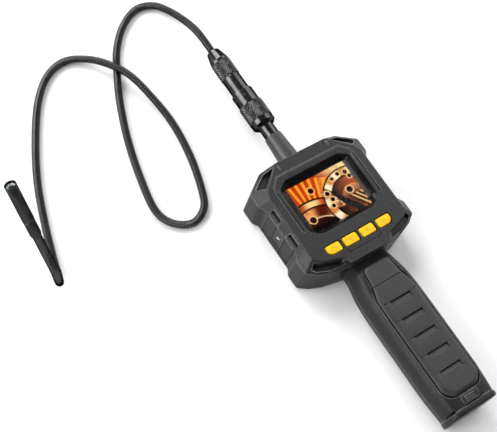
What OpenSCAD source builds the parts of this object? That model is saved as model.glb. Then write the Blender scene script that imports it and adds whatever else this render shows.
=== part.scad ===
// Inspection camera: a handset with a colour screen, a socket at its top end,
// and a self-holding gooseneck that plugs in there and ends in a small camera.
// The handset lies on its back. +X is its right side, +Y points from the handle
// to the socket and +Z out of the screen. The origin is on the back plane,
// under the middle of the handset.

/* [Handset] */
// Length of the handset, from its end cap to the end of its socket
handset_l = 258; // [257:0.5:260]
// Thickness of the head, from its back to its face
head_t = 34; // [33.5:0.1:34.5]
// Height of the parting line of the head above its back
head_part_h = 26.4; // [26:0.1:27]
// Half width of the head over its corner bumpers
bumper_hw = 47.3; // [46.5:0.1:48]
// Half width of the head between its corner bumpers
waist_hw = 44.4; // [43.8:0.1:45]
// Wall thickness of the mouldings
wall = 2.2; // [2:0.1:2.4]
// Half width of the handle
handle_hw = 22.3; // [21.8:0.1:22.8]
// Height of the front of the handle above the back
handle_t = 28.2; // [27.8:0.1:28.6]
// Height of the parting line of the handle above the back
handle_part_h = 14; // [13:0.5:15]
// Height of the socket's axis above the back
axis_h = 13.4; // [13.2:0.1:13.6]

/* [Screen and buttons] */
// Width of the picture
picture_w = 48.8; // [48:0.2:49]
// Height of the picture
picture_h = 36.6; // [36:0.2:37]
// Width of a button
button_w = 12.2; // [11.8:0.1:12.4]
// Length of a button along the handset
button_l = 7.2; // [7:0.1:7.4]
// Centre distance of the buttons
button_pitch = 14.6; // [14.5:0.1:14.9]
// Travel of a button
button_travel = 0.8; // [0.5:0.1:0.9]
// Gap around a button
button_gap = 0.4; // [0.35:0.05:0.5]

/* [Connector] */
// Outer diameter of the coupling nut
nut_d = 18.8; // [18.4:0.1:19.2]
// Outer diameter of the socket's thread
thread_d = 11.4; // [11:0.1:11.6]
// Outer diameter of the plug's sleeve
sleeve_d = 14.2; // [14:0.1:14.6]
// Running gap between the coupling nut and the collar it turns on
nut_gap = 0.08; // [0.05:0.01:0.1]

/* [Probe] */
// Diameter of the gooseneck
probe_d = 5.5; // [5.3:0.1:5.7]
// Diameter of the smooth sleeve on its end near the camera
sleeve_end_d = 6.2; // [6:0.1:6.3]
// Diameter of the camera housing
camera_d = 8; // [7.8:0.1:8.2]
// Length of the camera housing
camera_l = 30; // [29:0.5:31]
// Length of the ferrule behind the camera housing
ferrule_l = 13; // [12:0.5:14]

/* [Hidden] */
$fn = 64;
small = 0.01;
half_l = handset_l / 2;

// Stations along the handset
cap_y = -half_l + 4.6;         // seam between the handle and the end cap
pad_y0 = -115.5;
pad_y1 = -12.3;
head_y0 = -6;
head_y1 = 82.5;
boot_y1 = 107.5;
nut_y0 = 117;
nut_y1 = 147.9;
sleeve_y1 = 162.7;
clamp_y1 = 176.4;
nose_y1 = 186.9;

// Screen, buttons and board
picture_y = 43.8;              // centre of the picture
picture_z = head_t - 3.5;      // height of the screen window
button_y = 9.4;                // centre of the button row
button_z = head_t - 0.6;       // top of a button at rest
board_z = 19;                  // underside of the main board
board_t = 1.6;
face_thickness = 5.2;          // face of the head, over the screen and the buttons
dome_h = 1.7;                   // height of the keypad's domes above the board
flap_y = 38.5;                 // centre of the port flap
flap_l = 9;
flap_h = 12;
flap_z0 = 8.6;                 // the flap's hinge edge
latch_y = -120.9;              // centre of the cap's latch
latch_w = 13;
latch_l = 5.4;

battery_d = 14.2;
battery_l = 50;
battery_x = 7.6;
battery_y = -20.4;             // the end of the batteries nearest the head
battery_z = 13.2;
hinge_y = -126.1;              // axis of the end cap's hinge
hinge_z = 3;
barrel_r = 2.7;
hinge_pin_r = 1;
screw_hole_d = 3.3;
screw_head_d = 5.6;
screw_points = [[-38, 66], [38, 66], [-38, 11], [38, 11]];

// The gooseneck's centreline, from the nose of the plug to the back of the ferrule.
// It lies on the surface that the handset lies on, passes over itself once, and
// holds its last stretch up.
route = [
    [0, clamp_y1, axis_h], [0, 190, axis_h], [0.6, 202, 12], [1.2, 212, 9.4],
    [0, 225, 5.4], [-4, 237, 3.2],
    [-12, 247, 2.8], [-26, 250, 2.8], [-43, 241, 2.8], [-58, 225, 2.8], [-69, 206, 2.8],
    [-79, 186, 2.8], [-90, 157, 2.8], [-98, 127, 2.8], [-102, 102, 2.8], [-97, 88, 2.8],
    [-84, 81, 2.8], [-71, 87, 2.8], [-64, 101, 2.8], [-57, 127, 2.8], [-54, 155, 2.9],
    [-57, 180, 5.2], [-63, 200, 8.7], [-71, 215, 7.4], [-81, 227, 4.4], [-96, 234, 2.8],
    [-113, 229, 2.8], [-130, 213, 2.8], [-147, 187, 2.8], [-162, 158, 2.8], [-173, 129, 2.8],
    [-180, 107, 2.8], [-184, 94.5, 4.4], [-188, 85, 12], [-191, 82, 22.5], [-192.4, 86, 32.5],
    [-194.4, 95, 44], [-197, 103.5, 57.5]
];
steps_per_span = 2;
probe_sides = 10;
sleeve_point = 32;             // the point of the route where the smooth sleeve begins
head_start = route[len(route) - 1];
head_axis = unit(head_start - route[len(route) - 2]);

function mirror_x(points) = [for (i = [len(points) - 1:-1:0]) [-points[i][0], points[i][1]]];
function both_sides(points) = concat(points, mirror_x(points));

// Right half of the head's outline, from the handle round to the top edge
head_right = [
    [16, head_y0], [31.5, -3], [40.5, 0.5], [bumper_hw, 5.3], [bumper_hw, 15.8],
    [waist_hw, 20], [waist_hw, 57.3], [bumper_hw, 61.5], [bumper_hw, 72.4], [33, head_y1]
];
// Right half of the flat face, with one point for each point above
face_right = [
    [17.5, -5.2], [19.8, 0.8], [36.3, 5.8], [40, 10.2], [40.1, 15.8],
    [40.2, 20], [40.2, 57.3], [40.1, 61.5], [37.6, 66.8], [21.5, 82]
];
// Right half of the space inside the head
cavity_right = [
    [14, -2.8], [31, 0.2], [39.4, 3.8], [44.2, 7.6], [44.2, 14.6],
    [41.5, 18.8], [41.5, 58.5], [44.2, 62.6], [44.2, 70.8], [31.8, 79.4]
];
// Right half of the window's recess at the face, and where it meets the screen window
recess_top_right = [[21.5, 21.6], [28, 25], [31, 29.5], [31, 63], [23, 68.4]];
recess_low_right = [
    [20.5, 25.2], [24.6, 25.3], [24.7, 29.5], [24.7, 62], [22, 62.4]
];
// Pockets in the corner bumpers, each inside a wall of its own, and the height of their floor
lower_slot = [
    [21.2, 0.2], [36.9, 5.2], [39.9, 7.8], [43.2, 4.9], [40, 1.9], [31.2, -1.6], [21.4, -3.3]
];
upper_slot = [[24.3, 79.9], [38.3, 69], [42.9, 71.6], [42.5, 73], [32.4, 79.6]];
slot_floor = head_part_h + 0.8;
pad_right = [[10.6, pad_y0], [15.7, -109.6], [15.7, -36.5], [12, -25], [11, -14.6], [9.3, pad_y1]];

// A solid through a list of closed sections that all have the same number of points,
// each anticlockwise as seen from the end that the solid runs towards
module loft(sections) {
    n = len(sections[0]);
    last = len(sections) - 1;
    points = [for (section = sections) for (p = section) p];
    sides = [
        for (s = [0:last - 1], i = [0:n - 1])
            let (a = s * n + i, b = s * n + (i + 1) % n)
            for (face = [[a, a + n, b], [b, a + n, b + n]]) face
    ];
    // an even section closes in strips across it, so that it may be concave
    cap = n % 2 == 1
        ? [[for (i = [0:n - 1]) i]]
        : [for (i = [0:n / 2 - 2]) [i, i + 1, n - 2 - i, n - 1 - i]];
    last_cap = [for (face = cap) [for (k = [len(face) - 1:-1:0]) last * n + face[k]]];
    polyhedron(points = points, faces = concat(cap, sides, last_cap), convexity = 6);
}

function at_height(points, z) = [for (p = points) [p[0], p[1], z]];

// A cylinder, cone or stepped part along +Y on the socket's axis
module along_y(y0, l, d0, d1) {
    translate([0, y0, axis_h]) rotate([-90, 0, 0]) cylinder(h = l, d1 = d0, d2 = d1);
}

module tube_y(y0, l, d_out, d_in) {
    difference() {
        along_y(y0, l, d_out, d_out);
        along_y(y0 - 1, l + 2, d_in, d_in);
    }
}

module block(x0, x1, y0, y1, z0, z1) {
    translate([x0, y0, z0]) cube([x1 - x0, y1 - y0, z1 - z0]);
}

// ---------- Handle ----------

// Right half of the handle's section, from the middle of the back to the middle of the front
handle_half = [
    [0, 0], [11.5, 0.3], [16.2, 1.6], [19.8, 4.8], [21.8, 9.5], [handle_hw, 14],
    [22, 18.5], [20.6, 23], [18.3, 26.2], [15.9, 27.8], [8, handle_t]
];

function handle_ring(y, sx, top) = let (
    low = handle_part_h,
    stretch = (top - low) / (handle_t - low),
    half = [for (p = handle_half) [p[0] * sx, p[1] < low ? p[1] : low + (p[1] - low) * stretch]],
    n = len(half)
) concat(
    [for (p = half) [p[0], y, p[1]]],
    [for (i = [n - 1:-1:1]) [-half[i][0], y, half[i][1]]]
);

// Stations of the handle: place along it, width factor and height of its front
handle_stations = [
    [1, 0.79, 23], [-9, 0.81, 25], [-14, 0.83, 27.6], [-25, 0.94, handle_t],
    [-37, 0.99, handle_t], [-54, 1, handle_t], [-104, 1, handle_t],
    [-116, 0.96, handle_t], [cap_y, 0.93, handle_t - 0.4]
];

module handle_solid() {
    loft([for (s = handle_stations) handle_ring(s[0], s[1], s[2])]);
}

// The space inside the handle that holds the battery carrier
module handle_cavity() {
    block(-15.8, 15.8, cap_y - 1, -18, 4.2, 23.6);
    block(-12.5, 12.5, -19, 2, 4, 20.5);
}

module pad_recess(depth) {
    translate([0, 0, handle_t + 1.6 - depth])
        linear_extrude(10) offset(delta = 0.35) polygon(both_sides(pad_right));
}

module handle_upper_solid() {
    intersection() {
        handle_solid();
        block(-60, 60, -140, 3, handle_part_h, 40);
    }
}

module handle_front() {
    color([0.23, 0.24, 0.25]) difference() {
        handle_upper_solid();
        handle_cavity();
        pad_recess(3.2);
        // the window of the cap's latch
        block(-latch_w / 2 - 0.4, latch_w / 2 + 0.4, latch_y - 3.6, latch_y + latch_l / 2 + 0.4, 20, 40);
    }
}

module handle_rear_half() {
    difference() {
        intersection() {
            handle_solid();
            block(-60, 60, -140, -3.2, -1, handle_part_h);
        }
        handle_cavity();
    }
}

// ---------- Head ----------

module head_front_solid() {
    loft([
        at_height(both_sides(head_right), head_part_h),
        at_height(both_sides(head_right), head_part_h + 0.9),
        at_height(both_sides(face_right), head_t)
    ]);
}

module corner_slots() {
    for (side = [0, 1]) mirror([side, 0, 0]) translate([0, 0, slot_floor]) {
        linear_extrude(10) polygon(lower_slot);
        linear_extrude(10) polygon(upper_slot);
    }
}

// The grooves and sunk panels on the sides of the head between its bumpers
module side_relief() {
    for (side = [0, 1]) mirror([side, 0, 0]) {
        for (y = [22.8, 33.8, 43.2, 54.5])
            block(waist_hw - 0.8, 60, y - 0.35, y + 0.35, 2.5, 31);
        for (y = [22.8, 43.2])
            block(waist_hw - 0.45, 60, y, y + 11.2, 2.5, 26);
        for (y = [23.4, 43.8])
            translate([41.3, y, 28.3]) cube([6, 10, 3.6]);
    }
}

module window_recess() {
    loft([
        at_height(both_sides(recess_low_right), picture_z - small),
        at_height(both_sides(recess_top_right), head_t + 1)
    ]);
}

// Outline of a button; the outer two have their outer lower corner cut
module button_shape(index, grow) {
    outer = index == 0 || index == 3;
    side = index < 2 ? -1 : 1;
    w = button_w / 2 + grow;
    l = button_l / 2 + grow;
    r = 1.1;
    x = (index - 1.5) * button_pitch;
    translate([x, button_y]) scale([side, 1]) hull() {
        for (p = [[-w + r, -l + r], [-w + r, l - r], [w - r, l - r]]) translate(p) circle(r = r, $fn = 32);
        if (outer) {
            translate([w - 3.2, -l + r]) circle(r = r, $fn = 32);
            translate([w - r, -l + 2.6]) circle(r = r, $fn = 32);
        } else {
            translate([w - r, -l + r]) circle(r = r, $fn = 32);
        }
    }
}

module front_shell() {
    color([0.23, 0.24, 0.25]) difference() {
        head_front_solid();
        // the hollow behind the face, for the screen and the buttons
        block(-31, 31, 4.5, 71, head_part_h - 1, head_t - face_thickness);
        // blind holes for the screws
        for (p = screw_points) translate([p[0], p[1], 20]) cylinder(h = 9.2, d = screw_hole_d);
        window_recess();
        translate([0, picture_y, 20]) linear_extrude(picture_z - 20 + small)
            square([picture_w + 0.6, picture_h + 0.6], center = true);
        corner_slots();
        side_relief();
        // the long grooves on both sides of the window
        for (x = [-33.6, 33.6]) block(x - 0.55, x + 0.55, 29, 63, head_t - 1, head_t + 1);
        for (i = [0:3]) translate([0, 0, 20]) linear_extrude(20) button_shape(i, button_gap);
        // the panel line under the middle buttons
        block(-14.3, 14.3, 1.4, 1.9, head_t - 0.6, head_t + 1);
    }
}

// A round bar on the axis of the end cap's hinge
module hinge_barrel(x0, x1, r) {
    translate([x0, hinge_y, hinge_z]) rotate([0, 90, 0]) cylinder(h = x1 - x0, r = r);
}

module rear_shell() {
    color([0.21, 0.22, 0.23]) difference() {
        union() {
            difference() {
                loft([
                    at_height(both_sides([for (p = head_right) [p[0] * 0.972, p[1] * 0.97 + 1.1]]), 0),
                    at_height(both_sides(head_right), 1.6),
                    at_height(both_sides(head_right), head_part_h)
                ]);
                translate([0, 0, wall + 0.4]) linear_extrude(40) polygon(both_sides(cavity_right));
                side_relief();
                along_y(head_y1 - 10, 20, 16.5, 16.5);
                block(-12.5, 12.5, -10, 4, 4, 20.5);
                handle_upper_solid();
                // the opening for the video jack and its flap
                block(-60, -waist_hw + 1.5, flap_y - flap_l / 2 - 0.3, flap_y + flap_l / 2 + 0.3,
                    flap_z0 - 0.3, flap_z0 + flap_h + 0.3);
                translate([-60, flap_y, 15]) rotate([0, 90, 0]) cylinder(h = 25, d = 6.4);
            }
            for (p = screw_points) translate([p[0], p[1], 1.6]) cylinder(h = head_part_h - 1.6, d = 7.6);
            difference() {
                handle_rear_half();
                hinge_barrel(-17, 17, barrel_r + 0.4);
            }
            hinge_barrel(-5.6, 5.6, barrel_r);
            block(-5.6, 5.6, hinge_y, cap_y + 2.4, 0.4, 3.4);
        }
        for (p = screw_points) {
            translate([p[0], p[1], -1]) cylinder(h = 40, d = screw_hole_d);
            translate([p[0], p[1], -1]) cylinder(h = 3.4, d = screw_head_d + 0.8);
        }
        hinge_barrel(-20, 20, hinge_pin_r + 0.05);
    }
}

// The screws run up the pillars and into blind holes in the front shell's bosses
module housing_screws() {
    color([0.5, 0.5, 0.52]) for (p = screw_points) translate([p[0], p[1], 0]) {
        translate([0, 0, 0.6]) difference() {
            cylinder(h = 1.8, d = screw_head_d);
            translate([0, 0, -1]) cylinder(h = 2, d = 2.4, $fn = 6);
        }
        translate([0, 0, 2.4 - small]) cylinder(h = head_part_h, d = screw_hole_d - 0.4);
    }
}

// ---------- Screen, board and buttons ----------

module screen_window() {
    color([0.1, 0.1, 0.11]) translate([0, picture_y, picture_z - 1.3])
        linear_extrude(1.2) square([picture_w + 0.3, picture_h + 0.3], center = true);
}

module lcd_panel() {
    color([0.75, 0.4, 0.15]) translate([0, picture_y, 26.4])
        linear_extrude(2.2) square([55, 43], center = true);
}

module lcd_frame() {
    color([0.75, 0.76, 0.78]) translate([0, picture_y, 0]) difference() {
        translate([0, 0, 24.4]) linear_extrude(4.1) square([57.6, 45.6], center = true);
        translate([0, 0, 26.3]) linear_extrude(4) square([55.4, 43.4], center = true);
    }
}

module main_board() {
    color([0.05, 0.32, 0.2]) {
        block(-33.4, 33.4, 4.5, 72, board_z, board_z + board_t);
        // processor, regulator and connector on its underside
        block(-7, 7, 34, 48, board_z - 1.4, board_z + small);
        block(12, 18, 50, 57, board_z - 2, board_z + small);
        block(-6, 6, 60, 65, board_z - 3.4, board_z + small);
        block(-6, 6, 9, 14, board_z - 3.4, board_z + small);
    }
}

module keypad_membrane() {
    color([0.8, 0.8, 0.78]) {
        block(-30, 30, 5, 14, board_z + board_t + 0.02, board_z + board_t + 0.8);
        for (i = [0:3]) translate([(i - 1.5) * button_pitch, button_y, board_z + board_t + 0.7])
            cylinder(h = dome_h - 0.7, d1 = 7, d2 = 4.4);
    }
}

module button(index) {
    x = (index - 1.5) * button_pitch;
    stem_z = board_z + board_t + dome_h + button_travel + 0.3;
    color([0.98, 0.75, 0.05]) {
        translate([0, 0, head_t - 5.9]) linear_extrude(button_z - head_t + 5.9) button_shape(index, 0);
        translate([x, button_y, head_t - 7.2])
            linear_extrude(1.4) square([button_w + 1.6, button_l + 1.6], center = true);
        translate([x, button_y, stem_z]) cylinder(h = head_t - 7 - stem_z, d = 4);
    }
}
module button_left_outer() { button(0); }
module button_left_inner() { button(1); }
module button_right_inner() { button(2); }
module button_right_outer() { button(3); }

// ---------- Video port ----------

module port_jack() {
    color([0.12, 0.12, 0.13]) difference() {
        union() {
            block(-40.8, -30, flap_y - 3.8, flap_y + 3.8, 11, board_z - 0.05);
            translate([-42.4, flap_y, 15]) rotate([0, 90, 0]) cylinder(h = 2, d = 6);
        }
        translate([-50, flap_y, 15]) rotate([0, 90, 0]) cylinder(h = 18, d = 3.6);
    }
}

module port_flap() {
    x = -waist_hw + 0.45;
    hinge_r = 0.4;
    color([0.15, 0.15, 0.16]) difference() {
        union() {
            block(x, x + 2 * hinge_r, flap_y - flap_l / 2, flap_y + flap_l / 2,
                flap_z0 + hinge_r, flap_z0 + flap_h);
            translate([x + hinge_r, flap_y, flap_z0 + hinge_r]) rotate([90, 0, 0])
                cylinder(h = flap_l, r = hinge_r, center = true);
        }
        // a nail notch at its free edge
        translate([x, flap_y, flap_z0 + flap_h - 1.2]) rotate([90, 0, 0])
            cylinder(h = 4, r = 0.45, center = true);
    }
}

// ---------- Handle ----------

module grip_pad() {
    top = handle_t + 1.2;
    chamfer = 1.5;
    // its edge slopes in all round, less at the end near the head
    pad_top = [for (p = pad_right) [p[0] - chamfer, p[1] < -60 ? p[1] + chamfer : p[1] - 0.6]];
    color([0.19, 0.2, 0.21]) difference() {
        union() {
            translate([0, 0, handle_t - 1.5]) linear_extrude(1.2 + small) polygon(both_sides(pad_right));
            loft([
                at_height(both_sides(pad_right), handle_t - 0.3),
                at_height(both_sides(pad_top), top)
            ]);
        }
        block(-12, 12, -26.9, -26.1, top - 0.7, top + 1);
        for (i = [0:4]) {
            y = -40.3 - 14.1 * i;
            block(-8.9, 8.9, y - 4.2, y, top - 1.1, top + 1);
            block(-16, 16, y - 0.35, y, top - 0.4, top + 1);
        }
    }
}

module end_cap() {
    seam = cap_y - 0.35;
    color([0.2, 0.21, 0.22]) difference() {
        union() {
            difference() {
                loft([
                    handle_ring(seam, 0.93, handle_t - 0.4),
                    handle_ring(seam - 1.2, 0.95, handle_t),
                    handle_ring(seam - 3.2, 0.955, handle_t + 0.1),
                    handle_ring(-half_l, 0.92, handle_t - 1)
                ]);
                // the cap's inside, the knuckle gap and the clearance under its pin
                block(-15, 15, seam - 2.4, seam + 1, 7, 21.5);
                block(-60, 60, -140, 0, -1, hinge_z);
                hinge_barrel(-6, 6, barrel_r + 0.4);
                block(-6, 6, hinge_y, 0, -1, hinge_z + barrel_r);
            }
            // the lip that the latch holds
            block(-13, 13, seam - 1, seam + 1.1, 21.8, 23.2);
            for (x = [-16, 6]) hinge_barrel(x, x + 10, barrel_r);
        }
        hinge_barrel(-20, 20, hinge_pin_r + 0.05);
    }
}

module cap_hinge_pin() {
    color([0.7, 0.7, 0.72]) hinge_barrel(-15.8, 15.8, hinge_pin_r);
}

// The sprung key in the handle's window that lets go of the end cap
module cap_latch() {
    hw = latch_w / 2;
    hl = latch_l / 2;
    top = handle_t - 0.5;
    color([0.2, 0.21, 0.22]) {
        block(-hw, hw, latch_y - hl, latch_y + hl, 22.8, top);
        // the flange that keeps it in the window
        block(-hw - 1.6, hw + 1.6, latch_y - 1.6, latch_y + 3.6, 21.9, 23.2);
        for (y = [-1.6, -0.2, 1.2]) block(-4, 4, latch_y + y, latch_y + y + 0.6, top - 0.1, top + 0.4);
    }
}

module battery_carrier() {
    color([0.1, 0.1, 0.11]) difference() {
        block(-15.4, 15.4, cap_y + 1.4, -18.6, 4.5, 14.2);
        for (x = [-battery_x, battery_x]) translate([x, battery_y + 0.6, battery_z]) rotate([90, 0, 0])
            cylinder(h = 2 * battery_l + 1.5, d = battery_d + 0.3);
    }
}

module batteries() {
    color([0.75, 0.55, 0.2]) for (x = [-battery_x, battery_x], i = [0, 1])
        translate([x, battery_y - i * (battery_l + 0.3), battery_z]) rotate([90, 0, 0]) {
            cylinder(h = battery_l - 1, d = battery_d);
            translate([0, 0, battery_l - 1 - small]) cylinder(h = 1, d = 5);
        }
}

module battery_contacts() {
    color([0.8, 0.8, 0.78]) {
        for (x = [-battery_x, battery_x]) block(x - 5, x + 5, battery_y + 0.1, battery_y + 0.5, 14.3, 20);
        block(-13, 13, -121.4, -121, 14.3, 20);
    }
}

// ---------- Socket on the handset ----------

module neck_boot() {
    color([0.2, 0.21, 0.22]) difference() {
        union() {
            along_y(head_y1 - 3.1, boot_y1 - head_y1 + 3.1, 16.3, 13.2);
            along_y(head_y1 - 5.5, 2.4 + small, 20, 20);
        }
        along_y(70, 50, thread_d + 0.02, thread_d + 0.02);
    }
}

module socket_body() {
    color([0.1, 0.1, 0.11]) difference() {
        union() {
            along_y(74.6, half_l - 74.6 - 0.8, thread_d, thread_d);
            along_y(half_l - 0.8 - small, 0.8 + small, thread_d, thread_d - 1.4);
            along_y(74.6, 2.4, 16, 16);
        }
        along_y(70, 80, 8.2, 8.2);
    }
}

module socket_insert() {
    color([0.3, 0.3, 0.32]) along_y(112, 15, 8.1, 8.1);
}

module socket_pins() {
    color([0.85, 0.65, 0.25]) for (a = [45:90:315])
        translate([2.1 * cos(a), 0, 2.1 * sin(a)]) along_y(127, 1.6, 0.9, 0.9);
}

// ---------- Plug on the gooseneck ----------

module plug_seal() {
    color([0.05, 0.05, 0.05]) translate([0, half_l + 0.6, axis_h]) rotate([-90, 0, 0])
        rotate_extrude() translate([4.8, 0]) circle(r = 0.6, $fn = 32);
}

module coupling_nut() {
    bearing_d = sleeve_d - 1 + 2 * nut_gap;
    color([0.08, 0.08, 0.09]) difference() {
        union() {
            along_y(nut_y0, 1.8, 14.5, 18.2);
            along_y(nut_y0 + 1.8 - small, 3.8 + small, 18.2, 18.2);
            along_y(122.6, 14.3, nut_d, nut_d);
            along_y(136.9 - small, nut_y1 - 136.9, 16.8, 16.8);
        }
        along_y(nut_y0 - 1, 14, thread_d + 0.8, thread_d + 0.8);
        along_y(129.8, 4.4, 15, 15);
        along_y(134, 20, bearing_d, bearing_d);
        // the groove round the smooth end
        tube_y(143.4, 0.6, 20, 16);
    }
}

module plug_sleeve() {
    color([0.08, 0.08, 0.09]) difference() {
        union() {
            along_y(130.2, 3.5, 14.3, 14.3);
            along_y(133.6, nut_y1 + 0.3 - 133.6, sleeve_d - 1, sleeve_d - 1);
            along_y(nut_y1 + 0.3 - small, sleeve_y1 - nut_y1 - 0.3, sleeve_d, sleeve_d);
        }
        along_y(120, 60, 9.4, 9.4);
    }
}

module plug_insert() {
    color([0.3, 0.3, 0.32]) difference() {
        along_y(130.4, 9, 9.3, 9.3);
        for (a = [45:90:315]) translate([2.1 * cos(a), 0, 2.1 * sin(a)]) along_y(129, 6, 1.1, 1.1);
    }
}

module clamp_nut() {
    color([0.08, 0.08, 0.09]) difference() {
        along_y(sleeve_y1 + 0.05, clamp_y1 - sleeve_y1 - 0.05, 15.2, 15.2);
        along_y(150, 40, 3.6, 3.6);
    }
}

module nose_cone() {
    color([0.09, 0.09, 0.1]) difference() {
        along_y(clamp_y1, nose_y1 - clamp_y1, 14.4, 10);
        along_y(150, 40, probe_d + 0.3, probe_d + 0.3);
    }
}

// ---------- Gooseneck ----------

function unit(v) = v / norm(v);

// A point on the smooth curve through the route, t spans from point i to the next
function route_at(i, t) = let (
    n = len(route) - 1,
    a = i > 0 ? route[i - 1] : 2 * route[0] - route[1],
    b = route[i],
    c = route[i + 1],
    d = i + 1 < n ? route[i + 2] : 2 * route[n] - route[n - 1]
) 0.5 * ((2 * b) + (c - a) * t + (2 * a - 5 * b + 4 * c - d) * t * t + (3 * b - a - 3 * c + d) * t * t * t);

centreline = concat(
    [for (i = [0:len(route) - 2], k = [0:steps_per_span - 1]) route_at(i, k / steps_per_span)],
    [head_start]
);

function tangent(i) = let (n = len(centreline) - 1)
    i == 0 ? [0, 1, 0] : i == n ? head_axis : unit(centreline[i + 1] - centreline[i - 1]);

function tube_ring(i, r) = let (
    t = tangent(i),
    across = unit(cross(t, abs(t[2]) < 0.9 ? [0, 0, 1] : [1, 0, 0])),
    up = cross(across, t)
) [for (k = [0:probe_sides - 1]) let (a = -(k + 0.5) * 360 / probe_sides)
    centreline[i] + r * cos(a) * across + r * sin(a) * up];

module gooseneck() {
    sleeve_ring = sleeve_point * steps_per_span;
    color([0.12, 0.12, 0.13]) loft([
        for (i = [0:len(centreline) - 1]) tube_ring(i, (i < sleeve_ring ? probe_d : sleeve_end_d) / 2)
    ]);
}

// ---------- Camera at the end of the gooseneck ----------

// Puts a part that is made along +Z onto the end of the gooseneck
module on_head(offset_l) {
    translate(head_start + head_axis * offset_l)
        rotate([0, acos(head_axis[2]), atan2(head_axis[1], head_axis[0])])
            children();
}

module camera_ferrule() {
    color([0.1, 0.1, 0.11]) on_head(0) {
        cylinder(h = 0.9, d1 = probe_d + 0.8, d2 = camera_d - 0.3);
        translate([0, 0, 0.9 - small]) cylinder(h = ferrule_l - 0.95, d = camera_d - 0.3);
    }
}

module camera_housing() {
    color([0.12, 0.12, 0.13]) on_head(ferrule_l) difference() {
        cylinder(h = camera_l, d = camera_d);
        translate([0, 0, 1]) cylinder(h = camera_l, d = camera_d - 1.2);
    }
}

module camera_module() {
    color([0.2, 0.2, 0.22]) on_head(ferrule_l + camera_l - 12) {
        cylinder(h = 8, d = 5.6);
        translate([0, 0, 8 - small]) cylinder(h = 2, d = 3);
    }
}

module led_ring() {
    color([0.95, 0.93, 0.8]) on_head(ferrule_l + camera_l - 3.4) difference() {
        cylinder(h = 1.4, d = camera_d - 1.3);
        translate([0, 0, -1]) cylinder(h = 4, d = 3.2);
    }
}

module lens_window() {
    color([0.7, 0.8, 0.85]) on_head(ferrule_l + camera_l - 1.6) cylinder(h = 1, d = camera_d - 1.25);
}

// ---------- Wires inside the handset ----------

// A wire with its ends at two points and a slack bow towards the back between them
module wire(p0, p1, bow, r) {
    n = 10;
    points = [for (k = [0:n]) let (t = k / n) p0 + (p1 - p0) * t + [0, 0, -4 * bow * t * (1 - t)]];
    loft([for (k = [0:n]) let (
        t = k == 0 || k == n ? unit(p1 - p0) : unit(points[k + 1] - points[k - 1]),
        across = unit(cross(t, [1, 0, 0.01])),
        up = cross(across, t)
    ) [for (a = [0:45:315]) points[k] + r * cos(a) * across - r * sin(a) * up]]);
}

module signal_lead() {
    color([0.1, 0.1, 0.1]) wire([0, 111.9, axis_h], [0, 65.1, 16.7], 0, 1.1);
}

module power_lead() {
    color([0.7, 0.1, 0.08]) for (x = [-4, 4]) wire([x, battery_y + 0.5, 16], [x, 8.95, 16.6], 5, 0.8);
}

front_shell();
rear_shell();
handle_front();
housing_screws();
screen_window();
lcd_panel();
lcd_frame();
main_board();
keypad_membrane();
button_left_outer();
button_left_inner();
button_right_inner();
button_right_outer();
port_jack();
port_flap();
grip_pad();
end_cap();
cap_hinge_pin();
cap_latch();
battery_carrier();
batteries();
battery_contacts();
neck_boot();
socket_body();
socket_insert();
socket_pins();
signal_lead();
power_lead();
plug_seal();
coupling_nut();
plug_sleeve();
plug_insert();
clamp_nut();
nose_cone();
gooseneck();
camera_ferrule();
camera_housing();
camera_module();
led_ring();
lens_window();
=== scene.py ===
import math

import bmesh
import bpy
from mathutils import Matrix, Vector


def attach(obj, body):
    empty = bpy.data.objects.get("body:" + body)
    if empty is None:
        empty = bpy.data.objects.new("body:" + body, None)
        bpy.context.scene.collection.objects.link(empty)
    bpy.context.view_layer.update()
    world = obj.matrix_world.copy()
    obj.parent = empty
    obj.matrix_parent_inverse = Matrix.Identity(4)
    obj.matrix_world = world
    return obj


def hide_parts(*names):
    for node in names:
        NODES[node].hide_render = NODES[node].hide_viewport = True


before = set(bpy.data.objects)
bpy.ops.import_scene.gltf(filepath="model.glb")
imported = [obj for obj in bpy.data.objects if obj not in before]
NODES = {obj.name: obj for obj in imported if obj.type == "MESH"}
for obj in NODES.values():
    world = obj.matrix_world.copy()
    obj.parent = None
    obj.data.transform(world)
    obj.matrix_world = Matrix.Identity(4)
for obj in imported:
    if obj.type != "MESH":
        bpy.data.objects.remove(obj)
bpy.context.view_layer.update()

MM = 0.001


def add_object(name, data):
    obj = bpy.data.objects.new(name, data)
    bpy.context.scene.collection.objects.link(obj)
    return obj


# ---- camera ----

VIEW_LENS_MM, VIEW_SENSOR_MM = 87.03, 36
VIEW_PLACE = (-0.3816, -0.1537, 0.7415)
VIEW_DIRECTION = (0.3987, 0.2622, -0.8788)
VIEW_ROLL_DEGREES = 25.31

camera_data = bpy.data.cameras.new("view_camera")
camera_data.lens = VIEW_LENS_MM
camera_data.sensor_width = VIEW_SENSOR_MM
camera_data.clip_start = 0.01
camera_data.clip_end = 50
camera = add_object("view_camera", camera_data)
forward = Vector(VIEW_DIRECTION).normalized()
flat_right = forward.cross(Vector((0, 0, 1))).normalized()
flat_up = flat_right.cross(forward)
roll = math.radians(VIEW_ROLL_DEGREES)
right = math.cos(roll) * flat_right + math.sin(roll) * flat_up
up = right.cross(forward)
camera.matrix_world = Matrix(
    [(right[i], up[i], -forward[i], VIEW_PLACE[i]) for i in range(3)] + [(0, 0, 0, 1)])
bpy.context.scene.camera = camera

# ---- mesh helpers, in millimetres ----

SHARP = 32.0            # degrees; edges that turn more than this are shaded sharp
WELD = 2e-6             # metres
FLAT = 0.6              # degrees between faces that count as one flat face
MIN_SOFT_ANGLE = 20     # degrees; edges that turn less than this are never rounded
BOX_FACES = [(3, 2, 1, 0), (4, 5, 6, 7), (0, 1, 5, 4), (1, 2, 6, 5), (2, 3, 7, 6), (3, 0, 4, 7)]


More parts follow.
